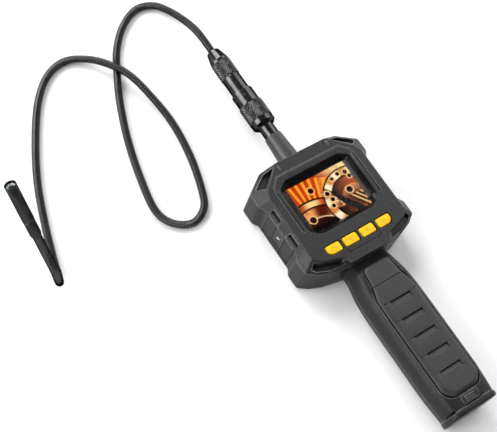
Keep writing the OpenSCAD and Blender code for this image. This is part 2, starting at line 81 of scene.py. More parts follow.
def make_piece(name, verts, faces, sharp=SHARP, weigh=True):
    """A mesh object in the row frame, from points in millimetres."""
    mesh = bpy.data.meshes.new(name)
    mesh.from_pydata([tuple(c * MM for c in v) for v in verts], [], faces)
    mesh.update()
    obj = add_object(name, mesh)
    tidy_mesh(obj, sharp, weigh=weigh)
    return obj


def tidy_mesh(obj, sharp=SHARP, dissolve=False, weigh=True):
    """Welds, turns faces outward and shades smooth up to the sharp angle, flat faces leading."""
    bm = bmesh.new()
    bm.from_mesh(obj.data)
    bmesh.ops.remove_doubles(bm, verts=bm.verts, dist=WELD)
    if dissolve:
        bmesh.ops.dissolve_limit(bm, angle_limit=math.radians(FLAT), verts=bm.verts, edges=bm.edges)
    bmesh.ops.recalc_face_normals(bm, faces=bm.faces)
    bm.to_mesh(obj.data)
    bm.free()
    obj.data.polygons.foreach_set("use_smooth", [True] * len(obj.data.polygons))
    obj.data.set_sharp_from_angle(angle=math.radians(sharp))
    if weigh:
        modifier = obj.modifiers.new("weigh", "WEIGHTED_NORMAL")
        modifier.mode = "FACE_AREA"
        modifier.keep_sharp = True
        apply_modifiers(obj)


def apply_modifiers(obj):
    """Replaces the mesh with what its modifiers make of it."""
    depsgraph = bpy.context.evaluated_depsgraph_get()
    made = bpy.data.meshes.new_from_object(obj.evaluated_get(depsgraph))
    obj.modifiers.clear()
    old = obj.data
    obj.data = made
    bpy.data.meshes.remove(old)
    made.name = obj.name


def loft_rings(rings, wrap=False):
    """Points and faces of a skin through rings that have the same number of points.

    The two ends are closed, or with wrap=True joined to each other.
    """
    n = len(rings[0])
    verts = [p for ring in rings for p in ring]
    faces = []
    for s in range(len(rings) - (0 if wrap else 1)):
        t = (s + 1) % len(rings)
        for i in range(n):
            j = (i + 1) % n
            faces.append((s * n + i, s * n + j, t * n + j, t * n + i))
    if not wrap:
        faces.append(tuple(range(n))[::-1])
        faces.append(tuple((len(rings) - 1) * n + i for i in range(n)))
    return verts, faces


def circle(x, y, r, sides):
    angles = (2 * math.pi * k / sides for k in range(sides))
    return [(x + r * math.cos(t), y + r * math.sin(t)) for t in angles]


def mirrored(points):
    """A closed outline from its right half."""
    return list(points) + [(-x, y) for x, y in reversed(points)]


def rounding(a, b, c, from_a, from_c, steps, most):
    """Points on a curve that rounds the corner b, starting at most so far along each side."""
    p0 = b + (a - b).normalized() * min(from_a, most * (a - b).length)
    p2 = b + (c - b).normalized() * min(from_c, most * (c - b).length)
    return [
        (1 - t) ** 2 * p0 + 2 * t * (1 - t) * b + t * t * p2
        for t in (k / (steps - 1) for k in range(steps))
    ]


def rounded(points, radius, steps=5):
    """A closed 2-D outline with its corners rounded; every corner gives the same number of points."""
    out = []
    n = len(points)
    for i in range(n):
        a, b, c = Vector(points[i - 1]), Vector(points[i]), Vector(points[(i + 1) % n])
        r = radius[i] if isinstance(radius, (list, tuple)) else radius
        out += [(p.x, p.y) for p in rounding(a, b, c, r, r, steps, 0.45)]
    return out


def bezier_stations(a, b, c, d0, d1, steps=4):
    """Points that round the corner b between a and c, in any number of dimensions."""
    return rounding(Vector(a), Vector(b), Vector(c), d0, d1, steps, 0.48)


def at(points, z):
    return [(x, y, z) for x, y in points]


def middle_of(points):
    return sum(p[0] for p in points) / len(points), sum(p[1] for p in points) / len(points)


def inset(points, d, centre):
    """The outline with every point moved d towards a centre."""
    c = Vector(centre)
    out = []
    for p in points:
        v = Vector(p) - c
        out.append(tuple(c + v * (1 - d / max(v.length, 1e-6))))
    return out


def box_cutter(x0, x1, y0, y1, z0, z1):
    return [(x, y, z) for z in (z0, z1) for x, y in ((x0, y0), (x1, y0), (x1, y1), (x0, y1))], BOX_FACES


def prism(points, z0, z1, spread=0.0):
    """A prism, its top end wider by spread all round."""
    top = inset(points, -spread, middle_of(points)) if spread else points
    return loft_rings([at(points, z0), at(top, z1)])


def cut(obj, shapes, operation="DIFFERENCE"):
    """Cuts each closed shape out of obj, or adds it, and applies the result."""
    for verts, faces in shapes:
        tool = make_piece("tool", verts, faces, weigh=False)
        modifier = obj.modifiers.new("cut", "BOOLEAN")
        modifier.operation = operation
        modifier.solver = "EXACT"
        modifier.object = tool
        apply_modifiers(obj)
        tool_mesh = tool.data
        bpy.data.objects.remove(tool)
        bpy.data.meshes.remove(tool_mesh)


def soften(obj, where, width, segments):
    """Rounds the edges whose middle, in millimetres, passes where(middle)."""
    bm = bmesh.new()
    bm.from_mesh(obj.data)
    chosen = []
    for e in bm.edges:
        if len(e.link_faces) != 2 or math.degrees(e.calc_face_angle(0)) <= MIN_SOFT_ANGLE:
            continue
        if where((e.verts[0].co + e.verts[1].co) / 2 / MM):
            chosen.append(e)
    if chosen:
        bmesh.ops.bevel(
            bm, geom=chosen, offset=width * MM, offset_type="OFFSET", segments=segments,
            profile=0.5, affect="EDGES", clamp_overlap=True,
        )
    bm.to_mesh(obj.data)
    bm.free()


def copy_node(node, name):
    """A new piece with the CAD node's mesh, welded and with flat faces merged."""
    obj = add_object(name, NODES[node].data.copy())
    obj.data.name = name
    tidy_mesh(obj, dissolve=True)
    return obj


AXIS_Z = 13.4           # height of the connector's axis


def on_y(s, r, a):
    return (r * math.cos(a), s, AXIS_Z + r * math.sin(a))


def turned(name, profile, place=on_y, sides=96, ripple=None, ring=False, sharp=SHARP):
    """A turned piece from a profile of (distance along, radius).

    place(distance, radius, angle) gives the point, and ripple(distance, angle) is added to the
    radius. With ring=True the profile closes on itself, round a hole.
    """
    rings = []
    for s, r in profile:
        angles = (2 * math.pi * k / sides for k in range(sides))
        rings.append([place(s, r + (ripple(s, a) if ripple else 0.0), a) for a in angles])
    return make_piece(name, *loft_rings(rings, wrap=ring), sharp)


def corners(profile, radius, closed=False):
    """A profile with its corners rounded, the two ends apart unless it is closed."""
    out = [] if closed else [tuple(profile[0])]
    n = len(profile)
    for i in range(n) if closed else range(1, n - 1):
        stations = bezier_stations(profile[i - 1], profile[i], profile[(i + 1) % n], radius, radius)
        out += [tuple(p) for p in stations]
    if not closed:
        out.append(tuple(profile[-1]))
    return out


# ---- materials ----


class Nodes:
    """Short names for building the nodes of a material or world."""

    def __init__(self, owner):
        owner.use_nodes = True
        self.owner = owner
        self.tree = owner.node_tree
        self.shader = self.tree.nodes.get("Principled BSDF")
        self.coord = self.node("ShaderNodeTexCoord").outputs["Object"]

    def node(self, kind, **settings):
        n = self.tree.nodes.new(kind)
        for key, value in settings.items():
            setattr(n, key, value)
        return n

    def feed(self, socket, value):
        if isinstance(value, bpy.types.NodeSocket):
            self.tree.links.new(value, socket)
        else:
            socket.default_value = value

    def math(self, operation, a, b=0.0, c=0.0):
        n = self.node("ShaderNodeMath", operation=operation)
        for socket, value in zip(n.inputs, (a, b, c)):
            self.feed(socket, value)
        return n.outputs[0]

    def add(self, a, b):
        return self.math("ADD", a, b)

    def subtract(self, a, b):
        return self.math("SUBTRACT", a, b)

    def times(self, a, b):
        return self.math("MULTIPLY", a, b)

    def vector(self, operation, a, b):
        n = self.node("ShaderNodeVectorMath", operation=operation)
        self.feed(n.inputs[0], a)
        self.feed(n.inputs[1], b)
        return n.outputs["Value"] if operation == "DOT_PRODUCT" else n.outputs[0]

    def split(self, v):
        n = self.node("ShaderNodeSeparateXYZ")
        self.feed(n.inputs[0], v)
        return n.outputs

    def noise(self, size_mm, detail=3.0, rough=0.55, stretch=None):
        n = self.node("ShaderNodeTexNoise")
        self.feed(n.inputs["Vector"], self.vector("MULTIPLY", self.coord, stretch) if stretch else self.coord)
        n.inputs["Scale"].default_value = 1000.0 / size_mm
        n.inputs["Detail"].default_value = detail
        n.inputs["Roughness"].default_value = rough
        return n.outputs["Fac"]

    def spread(self, value, low, high, to_low=0.0, to_high=1.0, smooth=True):
        """Carries low..high over to to_low..to_high, with no change beyond them."""
        n = self.node("ShaderNodeMapRange", interpolation_type="SMOOTHSTEP" if smooth else "LINEAR")
        n.clamp = True
        self.feed(n.inputs[0], value)
        for k, v in enumerate((low, high, to_low, to_high)):
            n.inputs[k + 1].default_value = v
        return n.outputs[0]

    def below(self, value, low, high):
        """1 below low, 0 above high."""
        return self.spread(value, low, high, 1.0, 0.0)

    def within(self, value, centre, half, soft):
        """1 where value is within half of the centre, fading to 0 over soft."""
        return self.below(self.math("ABSOLUTE", self.subtract(value, centre)), half, half + soft)

    def mix(self, share, a, b):
        n = self.node("ShaderNodeMix", data_type="RGBA")
        self.feed(n.inputs[0], share)
        for socket, value in ((n.inputs[6], a), (n.inputs[7], b)):
            self.feed(socket, value if isinstance(value, bpy.types.NodeSocket) else (*value, 1.0))
        return n.outputs[2]

    def edges(self, radius_mm, low, high):
        """1 on edges of about this radius, 0 on flat and gently curved surface."""
        soft = self.node("ShaderNodeBevel", samples=6)
        soft.inputs["Radius"].default_value = radius_mm * MM
        hard = self.node("ShaderNodeNewGeometry").outputs["Normal"]
        turn = self.subtract(1.0, self.vector("DOT_PRODUCT", soft.outputs[0], hard))
        return self.spread(turn, low, high, smooth=False)

    def openness(self, distance_mm, low, high):
        """0 deep in a groove or corner, 1 in the open."""
        around = self.node("ShaderNodeAmbientOcclusion", samples=8, only_local=True)
        around.inputs["Distance"].default_value = distance_mm * MM
        return self.spread(around.outputs["AO"], low, high, smooth=False)

    def bump(self, *layers):
        """Bump from (height, distance in millimetres, strength) layers, one on the other."""
        normal = None
        for height, distance, strength in layers:
            n = self.node("ShaderNodeBump")
            n.inputs["Distance"].default_value = distance * MM
            n.inputs["Strength"].default_value = strength
            self.feed(n.inputs["Height"], height)
            if normal is not None:
                self.feed(n.inputs["Normal"], normal)
            normal = n.outputs[0]
        self.feed(self.shader.inputs["Normal"], normal)

    def set(self, **values):
        for key, value in values.items():
            self.feed(self.shader.inputs[key.replace("_", " ")], value)


def new_nodes(name):
    return Nodes(bpy.data.materials.new(name))


def shade(c, k):
    return tuple(min(1.0, x * k) for x in c)


# painted highlight: the pale colour given to edges
EDGE_HIGHLIGHT = (0.42, 0.42, 0.43)
GLOSS_BLACK = (0.003, 0.003, 0.0033)


def moulded(name, colour, rough=(0.42, 0.56), grain=0.35, strength=0.35, edge_highlight=0.4, specular=0.25, dark=0.08,
            mottle=1.0, has_window=False):
    """Moulded plastic or rubber: spark texture, cloudy gloss, a painted highlight on edges, painted shade in
    crevices, and scuffs.
    """
    m = new_nodes(name)
    cloud = m.noise(14.0, 4.0)
    fine_grain = m.noise(1.1, 5.0)
    cloudy = m.mix(m.spread(cloud, 0.35, 0.65), shade(colour, 0.86), shade(colour, 1.12))
    mottled = m.mix(m.spread(fine_grain, 0.35, 0.65), shade(colour, 1 - 0.28 * mottle),
                    m.mix(0.5, cloudy, shade(colour, 1 + 0.7 * mottle)))
    opened = m.openness(1.7, 0.42, 0.95)
    # painted highlight: edges are lightened, patchy along their length
    edge = m.times(m.edges(0.7, 0.006, 0.06), m.spread(opened, 0.45, 0.85))
    edge = m.times(edge, m.spread(m.noise(3.0, 3.0), 0.25, 0.75, edge_highlight * 0.6, edge_highlight))
    # painted shade: darker deep in crevices and grooves
    base = m.mix(opened, shade(colour, dark), mottled)
    if has_window:
        x, y, z = m.split(m.coord)
        # the painted edge highlight is faint round the buttons, and the sloping frame round the display is
        # gloss black
        keys = m.times(m.within(x, 0.0, 0.0305, 0.0005), m.within(y, 0.0085, 0.0085, 0.0005))
        edge = m.times(edge, m.spread(keys, 0.0, 1.0, 1.0, 0.12))
        slope = m.times(m.within(x, 0.0, 0.0315, 0.0002), m.within(y, 0.0452, 0.0245, 0.0002))
        slope = m.times(m.below(z, 0.03335, 0.0335), slope)
        base = m.mix(slope, m.mix(edge, base, EDGE_HIGHLIGHT), GLOSS_BLACK)
        gloss = m.math("MULTIPLY_ADD", m.spread(slope, 0.0, 1.0), -0.18, m.spread(cloud, 0.35, 0.65, *rough))
    else:
        base = m.mix(edge, base, EDGE_HIGHLIGHT)
        scuff = m.noise(2.6, 6.0, 0.7, stretch=(1.0, 0.18, 1.0))
        gloss = m.spread(m.add(m.times(cloud, 0.6), m.times(scuff, 0.4)), 0.35, 0.65, *rough)
    m.set(Base_Color=base, Specular_IOR_Level=specular, Roughness=gloss)
    m.bump((m.noise(grain, 2.0, 0.5), 0.02, strength), (fine_grain, 0.06, 0.3 * mottle), (cloud, 0.05, 0.12))
    return m.owner


def turned_metal(name, colour, rough, lines=0.25, groove=(0.8, 0.35, 0.85), under=1.0, bright=3.0,
                 edge_tint=1.0, has_sleeve=False):
    """Coated turned metal: faint turning lines, cloudy gloss, painted shade in grooves, on flanks and below,
    and a painted highlight on crests.
    """
    m = new_nodes(name)
    cloud = m.noise(6.0, 4.0)
    line = m.noise(lines, 2.0, 0.5, stretch=(0.06, 1.0, 0.06))
    base = m.mix(m.spread(cloud, 0.35, 0.65), shade(colour, 0.85), shade(colour, 1.15))
    # painted shade: darker where the surface faces sideways or down
    level = m.split(m.node("ShaderNodeNewGeometry").outputs["Normal"])[2]
    base = m.mix(m.spread(level, 0.0, 0.5), shade(colour, under), base)
    opened = m.openness(*groove)
    # painted shade: darker deep in grooves
    base = m.mix(opened, shade(colour, 0.06), base)
    # painted highlight: crests and sharp edges lightened
    crest = m.times(m.edges(0.6, 0.02, 0.12), m.spread(opened, 0.5, 1.0))
    base = m.mix(crest, base, shade(colour, bright))
    if has_sleeve:
        # the smooth sleeve on the last stretch of the tube has a colour of its own
        x, y, z = m.split(m.coord)
        raised = m.math("MAXIMUM", m.spread(z, 0.018, 0.0185), m.below(y, 0.0940, 0.0945))
        on_sleeve = m.times(raised, m.below(x, -0.171, -0.170))
        coating = m.mix(m.spread(cloud, 0.35, 0.65), (0.042, 0.042, 0.043), (0.055, 0.055, 0.057))
        base = m.mix(on_sleeve, base, coating)
    m.set(Base_Color=base, Metallic=1.0, Specular_Tint=(edge_tint, edge_tint, edge_tint, 1.0),
          Roughness=m.spread(m.add(m.times(cloud, 0.5), m.times(line, 0.5)), 0.3, 0.7, *rough))
    m.bump((line, 0.01, 0.1))
    return m.owner


def button_material():
    """Satin yellow keys, each with a faint sign: a ring with a bar, two rings, three bars, a ringed cross."""
    m = new_nodes("button_yellow")
    x, y, z = m.split(m.coord)
    u = m.times(x, 1000.0)
    v = m.times(m.subtract(y, BUTTON_Y * MM), 1000.0)
    cloud = m.noise(3.0, 3.0)
    base = m.mix(m.spread(cloud, 0.3, 0.7), shade((0.80, 0.41, 0.006), 0.94), (0.88, 0.50, 0.010))

    def ring(cx, r, width):
        du = m.subtract(u, cx)
        return m.within(m.math("SQRT", m.add(m.times(du, du), m.times(v, v))), r, width, 0.12)

    def bar(cx, cy, hx, hy):
        return m.times(m.within(u, cx, hx, 0.1), m.within(v, cy, hy, 0.1))

    p = BUTTON_PITCH
    signs = [
        ring(-1.5 * p, 1.5, 0.16), bar(-1.5 * p, 1.3, 0.18, 0.7),
        ring(-0.5 * p, 1.4, 0.16), ring(-0.5 * p, 0.4, 0.2),
        bar(0.5 * p, 0.9, 1.6, 0.16), bar(0.5 * p, 0.0, 1.6, 0.16), bar(0.5 * p, -0.9, 1.6, 0.16),
        ring(1.5 * p, 1.6, 0.14), bar(1.5 * p, 0.0, 0.16, 0.9), bar(1.5 * p, 0.0, 0.9, 0.16),
    ]
    total = signs[0]
    for s in signs[1:]:
        total = m.math("MAXIMUM", total, s)
    mark = m.times(m.times(total, m.spread(z, 0.0328, 0.0331)), 0.8)
    m.set(Base_Color=m.mix(mark, base, (0.62, 0.17, 0.008)), Specular_IOR_Level=0.2,
          Roughness=m.spread(cloud, 0.3, 0.7, 0.36, 0.48))
    m.bump((m.noise(0.4, 2.0), 0.012, 0.25), (total, 0.05, 0.3))
    return m.owner


def picture_material():
    """A lit colour display showing made-up copper and steel machinery: flanges, bolt holes and a dark gap."""
    m = new_nodes("display_picture")
    x, y, z = m.split(m.coord)
    u = m.math("DIVIDE", x, 0.0244)
    v = m.math("DIVIDE", m.subtract(y, DISPLAY_Y * MM), 0.0183)
    wave = m.noise(3.0, 4.0, 0.6)
    wobble = m.times(m.subtract(wave, 0.5), 0.06)

    def distance(cx, cy, stretch):
        dx = m.subtract(u, cx)
        dy = m.math("DIVIDE", m.subtract(v, cy), stretch)
        return m.math("SQRT", m.add(m.times(dx, dx), m.times(dy, dy))), dx, dy

    def inside(d, r, soft=0.03):
        return m.below(d, r - soft, r + soft)

    def band(d, r0, r1, soft=0.02):
        return m.times(m.spread(d, r0 - soft, r0 + soft), inside(d, r1, soft))

    def turn(dx, dy, count, offset=0.0):
        return m.math("SINE", m.add(m.times(m.math("ARCTAN2", dy, dx), float(count)), offset))

    def blend(value, low, high, a, b):
        return m.mix(m.spread(value, low, high), a, b)

    colour = None

    def lay(mask, ink):
        nonlocal colour
        colour = m.mix(mask, colour, ink)

    # glow behind: dark red on the left, pale gold at the upper right
    ramp = m.add(m.times(u, 0.55), m.times(v, 0.35))
    colour = blend(ramp, -0.7, 0.0, (0.16, 0.010, 0.003), (0.62, 0.09, 0.008))
    lay(m.spread(ramp, 0.2, 0.75), (1.0, 0.86, 0.58))
    # big copper drum with fine teeth, in steps that grow darker towards its middle
    d, dx, dy = distance(-0.72, -1.62, 1.30)
    copper = blend(turn(dx, dy, 58), -0.3, 0.7, (0.78, 0.20, 0.02), (1.0, 0.62, 0.17))
    copper = m.mix(m.spread(turn(dx, dy, 7, 0.4), 0.2, 1.0, 0.0, 0.7), copper, (1.0, 0.62, 0.20))
    lay(band(m.add(d, wobble), 1.44, 2.10), copper)
    lay(band(d, 1.40, 1.45), (0.012, 0.003, 0.001))
    lay(band(d, 1.22, 1.40), blend(turn(dx, dy, 9, 1.0), -0.9, 0.9, (0.72, 0.27, 0.07), (1.0, 0.84, 0.52)))
    lay(band(d, 1.18, 1.22), (0.02, 0.005, 0.002))
    lay(band(d, 0.86, 1.18), blend(turn(dx, dy, 7, 2.2), -1.0, 0.8, (0.30, 0.08, 0.02), (0.95, 0.60, 0.32)))
    lay(band(d, 0.83, 0.87), (1.0, 0.90, 0.70))
    lay(inside(d, 0.83), blend(m.add(v, wobble), -1.0, -0.5, (0.02, 0.006, 0.003), (0.22, 0.07, 0.02)))
    # pale flange over the upper right, and the dark gap under it
    e, ex, ey = distance(0.78, -0.42, 1.25)
    lay(band(e, 0.74, 0.98), blend(turn(ex, ey, 11, 0.6), -0.8, 0.9, (0.82, 0.50, 0.22), (1.0, 0.95, 0.80)))
    lay(band(e, 0.98, 1.02), (0.10, 0.012, 0.004))
    lay(band(e, 0.40, 0.74), blend(m.add(u, wobble), 0.1, 0.9, (0.10, 0.03, 0.012), (0.62, 0.26, 0.10)))
    lay(band(e, 0.70, 0.745), (0.015, 0.004, 0.002))
    lay(inside(e, 0.40), blend(v, -0.6, 0.3, (0.30, 0.13, 0.06), (0.95, 0.62, 0.34)))
    slant = m.add(u, m.times(v, 0.55))
    gap = m.times(band(slant, 0.02, 0.26, 0.03), m.spread(v, -0.95, 0.30, 1.0, 0.85))
    lay(m.times(gap, inside(e, 1.0)), (0.012, 0.005, 0.003))
    # a bracket that reaches from the flange to the drum
    bracket = m.times(m.within(m.add(u, m.times(v, 0.25)), 0.04, 0.12, 0.03), m.within(v, -0.12, 0.42, 0.04))
    lay(bracket, blend(wave, 0.4, 0.6, (0.50, 0.22, 0.08), (1.0, 0.86, 0.60)))
    # a machined block at the lower right
    block = m.times(m.spread(slant, 0.36, 0.40), m.below(v, -0.34, -0.30))
    ridges = m.math("SINE", m.times(slant, 42.0))
    lay(block, blend(ridges, -0.2, 0.4, (0.10, 0.045, 0.022), (0.90, 0.66, 0.42)))
    # holes with pale rims
    for hx, hy, r, ink in (
        (0.02, 0.14, 0.07, (0.012, 0.003, 0.001)), (0.07, -0.14, 0.065, (0.015, 0.004, 0.002)),
        (-0.02, -0.38, 0.06, (0.01, 0.003, 0.001)), (-0.36, 0.55, 0.09, (0.16, 0.006, 0.003)),
        (-0.82, -0.50, 0.10, (0.16, 0.008, 0.003)), (0.90, 0.60, 0.07, (0.10, 0.006, 0.003)),
        (0.66, 0.66, 0.06, (0.10, 0.006, 0.003)), (0.42, 0.58, 0.055, (0.10, 0.006, 0.003)),
        (0.70, -0.10, 0.10, (0.05, 0.012, 0.005)), (0.95, 0.38, 0.06, (0.03, 0.005, 0.002)),
    ):
        h, _, _ = distance(hx, hy, 1.3)
        lay(band(h, r, r + 0.035, 0.012), (1.0, 0.80, 0.52))
        lay(inside(h, r, 0.012), ink)
    # bright glints and brown clouds
    glint = m.spread(m.noise(1.6, 5.0, 0.7, stretch=(1.0, 0.5, 1.0)), 0.66, 0.78, 0.0, 0.6)
    lay(glint, (1.0, 0.93, 0.8))
    lay(m.spread(wave, 0.55, 0.75, 0.0, 0.35), (0.18, 0.05, 0.02))
    deep = m.node("ShaderNodeGamma")
    m.feed(deep.inputs["Color"], colour)
    deep.inputs["Gamma"].default_value = 2.0
    m.set(Base_Color=m.mix(0.9, deep.outputs["Color"], (0.0, 0.0, 0.0)), Emission_Color=deep.outputs["Color"],
          Emission_Strength=0.95, Specular_IOR_Level=0.05, Roughness=m.spread(wave, 0.3, 0.7, 0.2, 0.3))
    m.bump((wave, 0.004, 0.05))
    return m.owner


def glass_material(name, tint, rough):
    m = new_nodes(name)
    m.set(Base_Color=m.mix(m.spread(m.noise(9.0, 4.0), 0.3, 0.7), tint, shade(tint, 0.97)), Roughness=rough,
          Transmission_Weight=1.0, IOR=1.12)
    return m.owner


def board_material():
    m = new_nodes("circuit_board")
    trace = m.node("ShaderNodeTexBrick")
    m.feed(trace.inputs["Vector"], m.coord)
    trace.inputs["Scale"].default_value = 260.0
    m.feed(trace.inputs["Color1"], (0.012, 0.10, 0.035, 1.0))
    m.feed(trace.inputs["Color2"], (0.016, 0.13, 0.05, 1.0))
    m.feed(trace.inputs["Mortar"], (0.03, 0.22, 0.10, 1.0))
    patchy = m.spread(m.noise(2.0), 0.4, 0.6, 0.0, 0.4)
    m.set(Base_Color=m.mix(patchy, trace.outputs["Color"], (0.01, 0.07, 0.03)),
          Roughness=m.spread(m.noise(4.0), 0.3, 0.7, 0.25, 0.4))
    m.bump((trace.outputs["Fac"], 0.03, 0.4))
    return m.owner


def battery_material():
    """A printed sleeve in copper and black, with a pale band at each cell's end."""
    m = new_nodes("battery_sleeve")
    x, y, z = m.split(m.coord)
    along = m.math("FRACT", m.math("DIVIDE", m.add(y, 0.1214), 0.0503))
    base = m.mix(m.spread(along, 0.30, 0.31), (0.02, 0.02, 0.022), (0.62, 0.33, 0.10))
    m.set(Base_Color=m.mix(m.spread(along, 0.95, 0.96), base, (0.6, 0.6, 0.6)), Metallic=0.4,
          Roughness=m.spread(m.noise(3.0), 0.3, 0.7, 0.22, 0.36))
    m.bump((m.noise(0.8), 0.01, 0.15))
    return m.owner


def led_material():
    m = new_nodes("led_ring_white")
    m.set(Base_Color=m.mix(m.noise(0.5), (0.22, 0.22, 0.22), (0.32, 0.32, 0.31)),
          Roughness=m.spread(m.noise(0.8), 0.3, 0.7, 0.3, 0.5))
    m.bump((m.noise(0.5), 0.01, 0.2))
    return m.owner


def lamp_material():
    m = new_nodes("led_lamp")
    soft = m.noise(0.4)
    m.set(Base_Color=m.mix(soft, (0.85, 0.84, 0.70), (1.0, 0.98, 0.88)),
          Roughness=m.spread(soft, 0.3, 0.7, 0.1, 0.2),
          Emission_Color=m.mix(soft, (1.0, 0.95, 0.8), (1.0, 0.99, 0.93)), Emission_Strength=0.2)
    m.bump((soft, 0.01, 0.2))
    return m.owner


def flap_material():
    """Soft rubber with a small pale sign, two bars over a nail mark painted near black as shade."""
    m = Nodes(moulded("flap_rubber", (0.024, 0.0245, 0.026), edge_highlight=0.2, mottle=0.5))
    x, y, z = m.split(m.coord)

    def bar(cy, cz, hy, hz):
        return m.times(m.within(y, cy, hy, 0.0001), m.within(z, cz, hz, 0.0001))

    sign = m.math("MAXIMUM", bar(0.0385, 0.0168, 0.0014, 0.00035), bar(0.0391, 0.0154, 0.0008, 0.00035))
    base = m.shader.inputs["Base Color"].links[0].from_socket
    base = m.mix(m.times(sign, m.spread(m.noise(1.0), 0.3, 0.7, 0.75, 1.0)), base, (0.6, 0.6, 0.58))
    # painted shade: the nail mark is painted near black
    m.set(Base_Color=m.mix(bar(0.0383, 0.0124, 0.0013, 0.0007), base, (0.003, 0.003, 0.003)))
    return m.owner


BUTTON_PITCH, BUTTON_Y = 14.6, 9.4
DISPLAY_Y = 43.8        # middle of the display

SHELL = moulded("shell_plastic", (0.0130, 0.0132, 0.0142), rough=(0.34, 0.46), edge_highlight=0.5, specular=0.16)
FACE = moulded("face_plastic", (0.0215, 0.0219, 0.0234), rough=(0.34, 0.46), grain=0.3, edge_highlight=0.6,
               specular=0.2, has_window=True)
RUBBER = moulded("soft_rubber", (0.034, 0.0346, 0.0363), rough=(0.38, 0.5), grain=0.25, strength=0.4,
                 edge_highlight=0.12, mottle=0.35)
BOOT = moulded("boot_rubber", (0.013, 0.013, 0.014), rough=(0.34, 0.42), grain=0.3, strength=0.2, edge_highlight=0.1,
               specular=0.5, mottle=0.3)
NYLON = moulded("black_nylon", (0.012, 0.012, 0.013), rough=(0.4, 0.55), grain=0.5)
SILICONE = moulded("silicone", (0.6, 0.6, 0.57), rough=(0.5, 0.6), grain=0.6, edge_highlight=0.0, dark=0.7)
RED_PVC = moulded("red_pvc", (0.42, 0.02, 0.015), rough=(0.3, 0.4), grain=0.8, edge_highlight=0.0, dark=0.6)
METAL = turned_metal("black_metal", (0.062, 0.062, 0.064), rough=(0.16, 0.22), groove=(1.0, 0.45, 0.9),
                     under=0.2, bright=4.0, edge_tint=0.25)
TUBE = turned_metal("tube_metal", (0.072, 0.072, 0.074), rough=(0.14, 0.2), lines=1.5,
                    groove=(1.2, 0.62, 0.95), under=0.05, bright=10.0, edge_tint=0.15, has_sleeve=True)
HEAD_METAL = turned_metal("camera_metal", (0.034, 0.034, 0.036), rough=(0.2, 0.28), lines=0.6, under=0.6,
                          edge_tint=0.5)
STEEL = turned_metal("zinc_steel", (0.55, 0.55, 0.57), rough=(0.25, 0.4))
TIN = turned_metal("tinned_sheet", (0.66, 0.66, 0.67), rough=(0.25, 0.42), lines=0.5)
GOLD = turned_metal("gold_plate", (0.8, 0.55, 0.2), rough=(0.2, 0.3))
BUTTON = button_material()
FLAP = flap_material()
PICTURE = picture_material()
PANE = glass_material("screen_pane", (0.93, 0.92, 0.92), 0.04)
LENS = glass_material("lens_glass", (0.80, 0.86, 0.88), 0.02)
BOARD = board_material()
BATTERY = battery_material()
LED = led_material()
LAMP = lamp_material()


def paint(obj, material):
    obj.data.materials.clear()
    obj.data.materials.append(material)


def finished(obj, body, material, slot, *nodes):
    """Gives a piece its material and body, and hides the CAD nodes that it stands for. The slot is not used.
    """
    paint(obj, material)
    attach(obj, body)
    if nodes:
        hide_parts(*nodes)
    return obj


def turned_part(name, profile, material, slot, *nodes, body="handset", **how):
    """A turned piece, finished; how goes to turned()."""
    return finished(turned(name, profile, **how), body, material, slot, *nodes)


# ---- gooseneck ----

ROUTE = [
    (0, 176.4, 13.4), (0, 190, 13.4), (0.6, 202, 12), (1.2, 212, 9.4),
    (0, 225, 5.4), (-4, 237, 3.2),
    (-12, 247, 2.8), (-26, 250, 2.8), (-43, 241, 2.8), (-58, 225, 2.8), (-69, 206, 2.8),
    (-79, 186, 2.8), (-90, 157, 2.8), (-98, 127, 2.8), (-102, 102, 2.8), (-97, 88, 2.8),
    (-84, 81, 2.8), (-71, 87, 2.8), (-64, 101, 2.8), (-57, 127, 2.8), (-54, 155, 2.9),
    (-57, 180, 5.2), (-63, 200, 8.7), (-71, 215, 7.4), (-81, 227, 4.4), (-96, 234, 2.8),
    (-113, 229, 2.8), (-130, 213, 2.8), (-147, 187, 2.8), (-162, 158, 2.8), (-173, 129, 2.8),
    (-180, 107, 2.8), (-184, 94.5, 4.4), (-188, 85, 12), (-191, 82, 22.5), (-192.4, 86, 32.5),
    (-194.4, 95, 44), (-197, 103.5, 57.5),
]
PROBE_R = 2.9           # radius over the ribs
RIB_PITCH, RIB_DEPTH = 2.2, 0.85
SLEEVE_R = 3.1          # radius of the smooth sleeve on the last stretch
SLEEVE_FROM = 32        # the point of the route where it starts
SLEEVE_LIP, SLEEVE_LIP_L = 0.06, 0.6
ROUTE_STEPS = 24        # points of the fine route for each point of the route


def spline(a, b, c, d, t):
    """The point at t between b and c on a Catmull-Rom curve through a, b, c and d."""
    return 0.5 * ((2 * b) + (c - a) * t + (2 * a - 5 * b + 4 * c - d) * t * t
                  + (3 * b - a - 3 * c + d) * t ** 3)


def smooth_route(points, steps):
    """The curve that the CAD tube follows."""
    pts = [Vector(p) for p in points]
    n = len(pts) - 1
    out = []
    for i in range(n):
        before = pts[i - 1] if i > 0 else 2 * pts[0] - pts[1]
        after = pts[i + 2] if i + 1 < n else 2 * pts[n] - pts[n - 1]
        out += [spline(before, pts[i], pts[i + 1], after, k / steps) for k in range(steps)]
    out.append(pts[n])
    return out


def even_points(points, step):
    """Points every step along a polyline, with their distances and the whole length."""
    out, dist = [points[0].copy()], [0.0]
    total = 0.0
    want = step
    for a, b in zip(points, points[1:]):
        length = (b - a).length
        while want <= total + length:
            out.append(a.lerp(b, (want - total) / length))
            dist.append(want)
            want += step
        total += length
    if total - dist[-1] > step * 0.3:
        out.append(points[-1].copy())
        dist.append(total)
    else:
        out[-1] = points[-1].copy()
        dist[-1] = total
    return out, dist, total


fine_route = smooth_route(ROUTE, ROUTE_STEPS)
route_points, route_dist, route_length = even_points(fine_route, RIB_PITCH / 6)


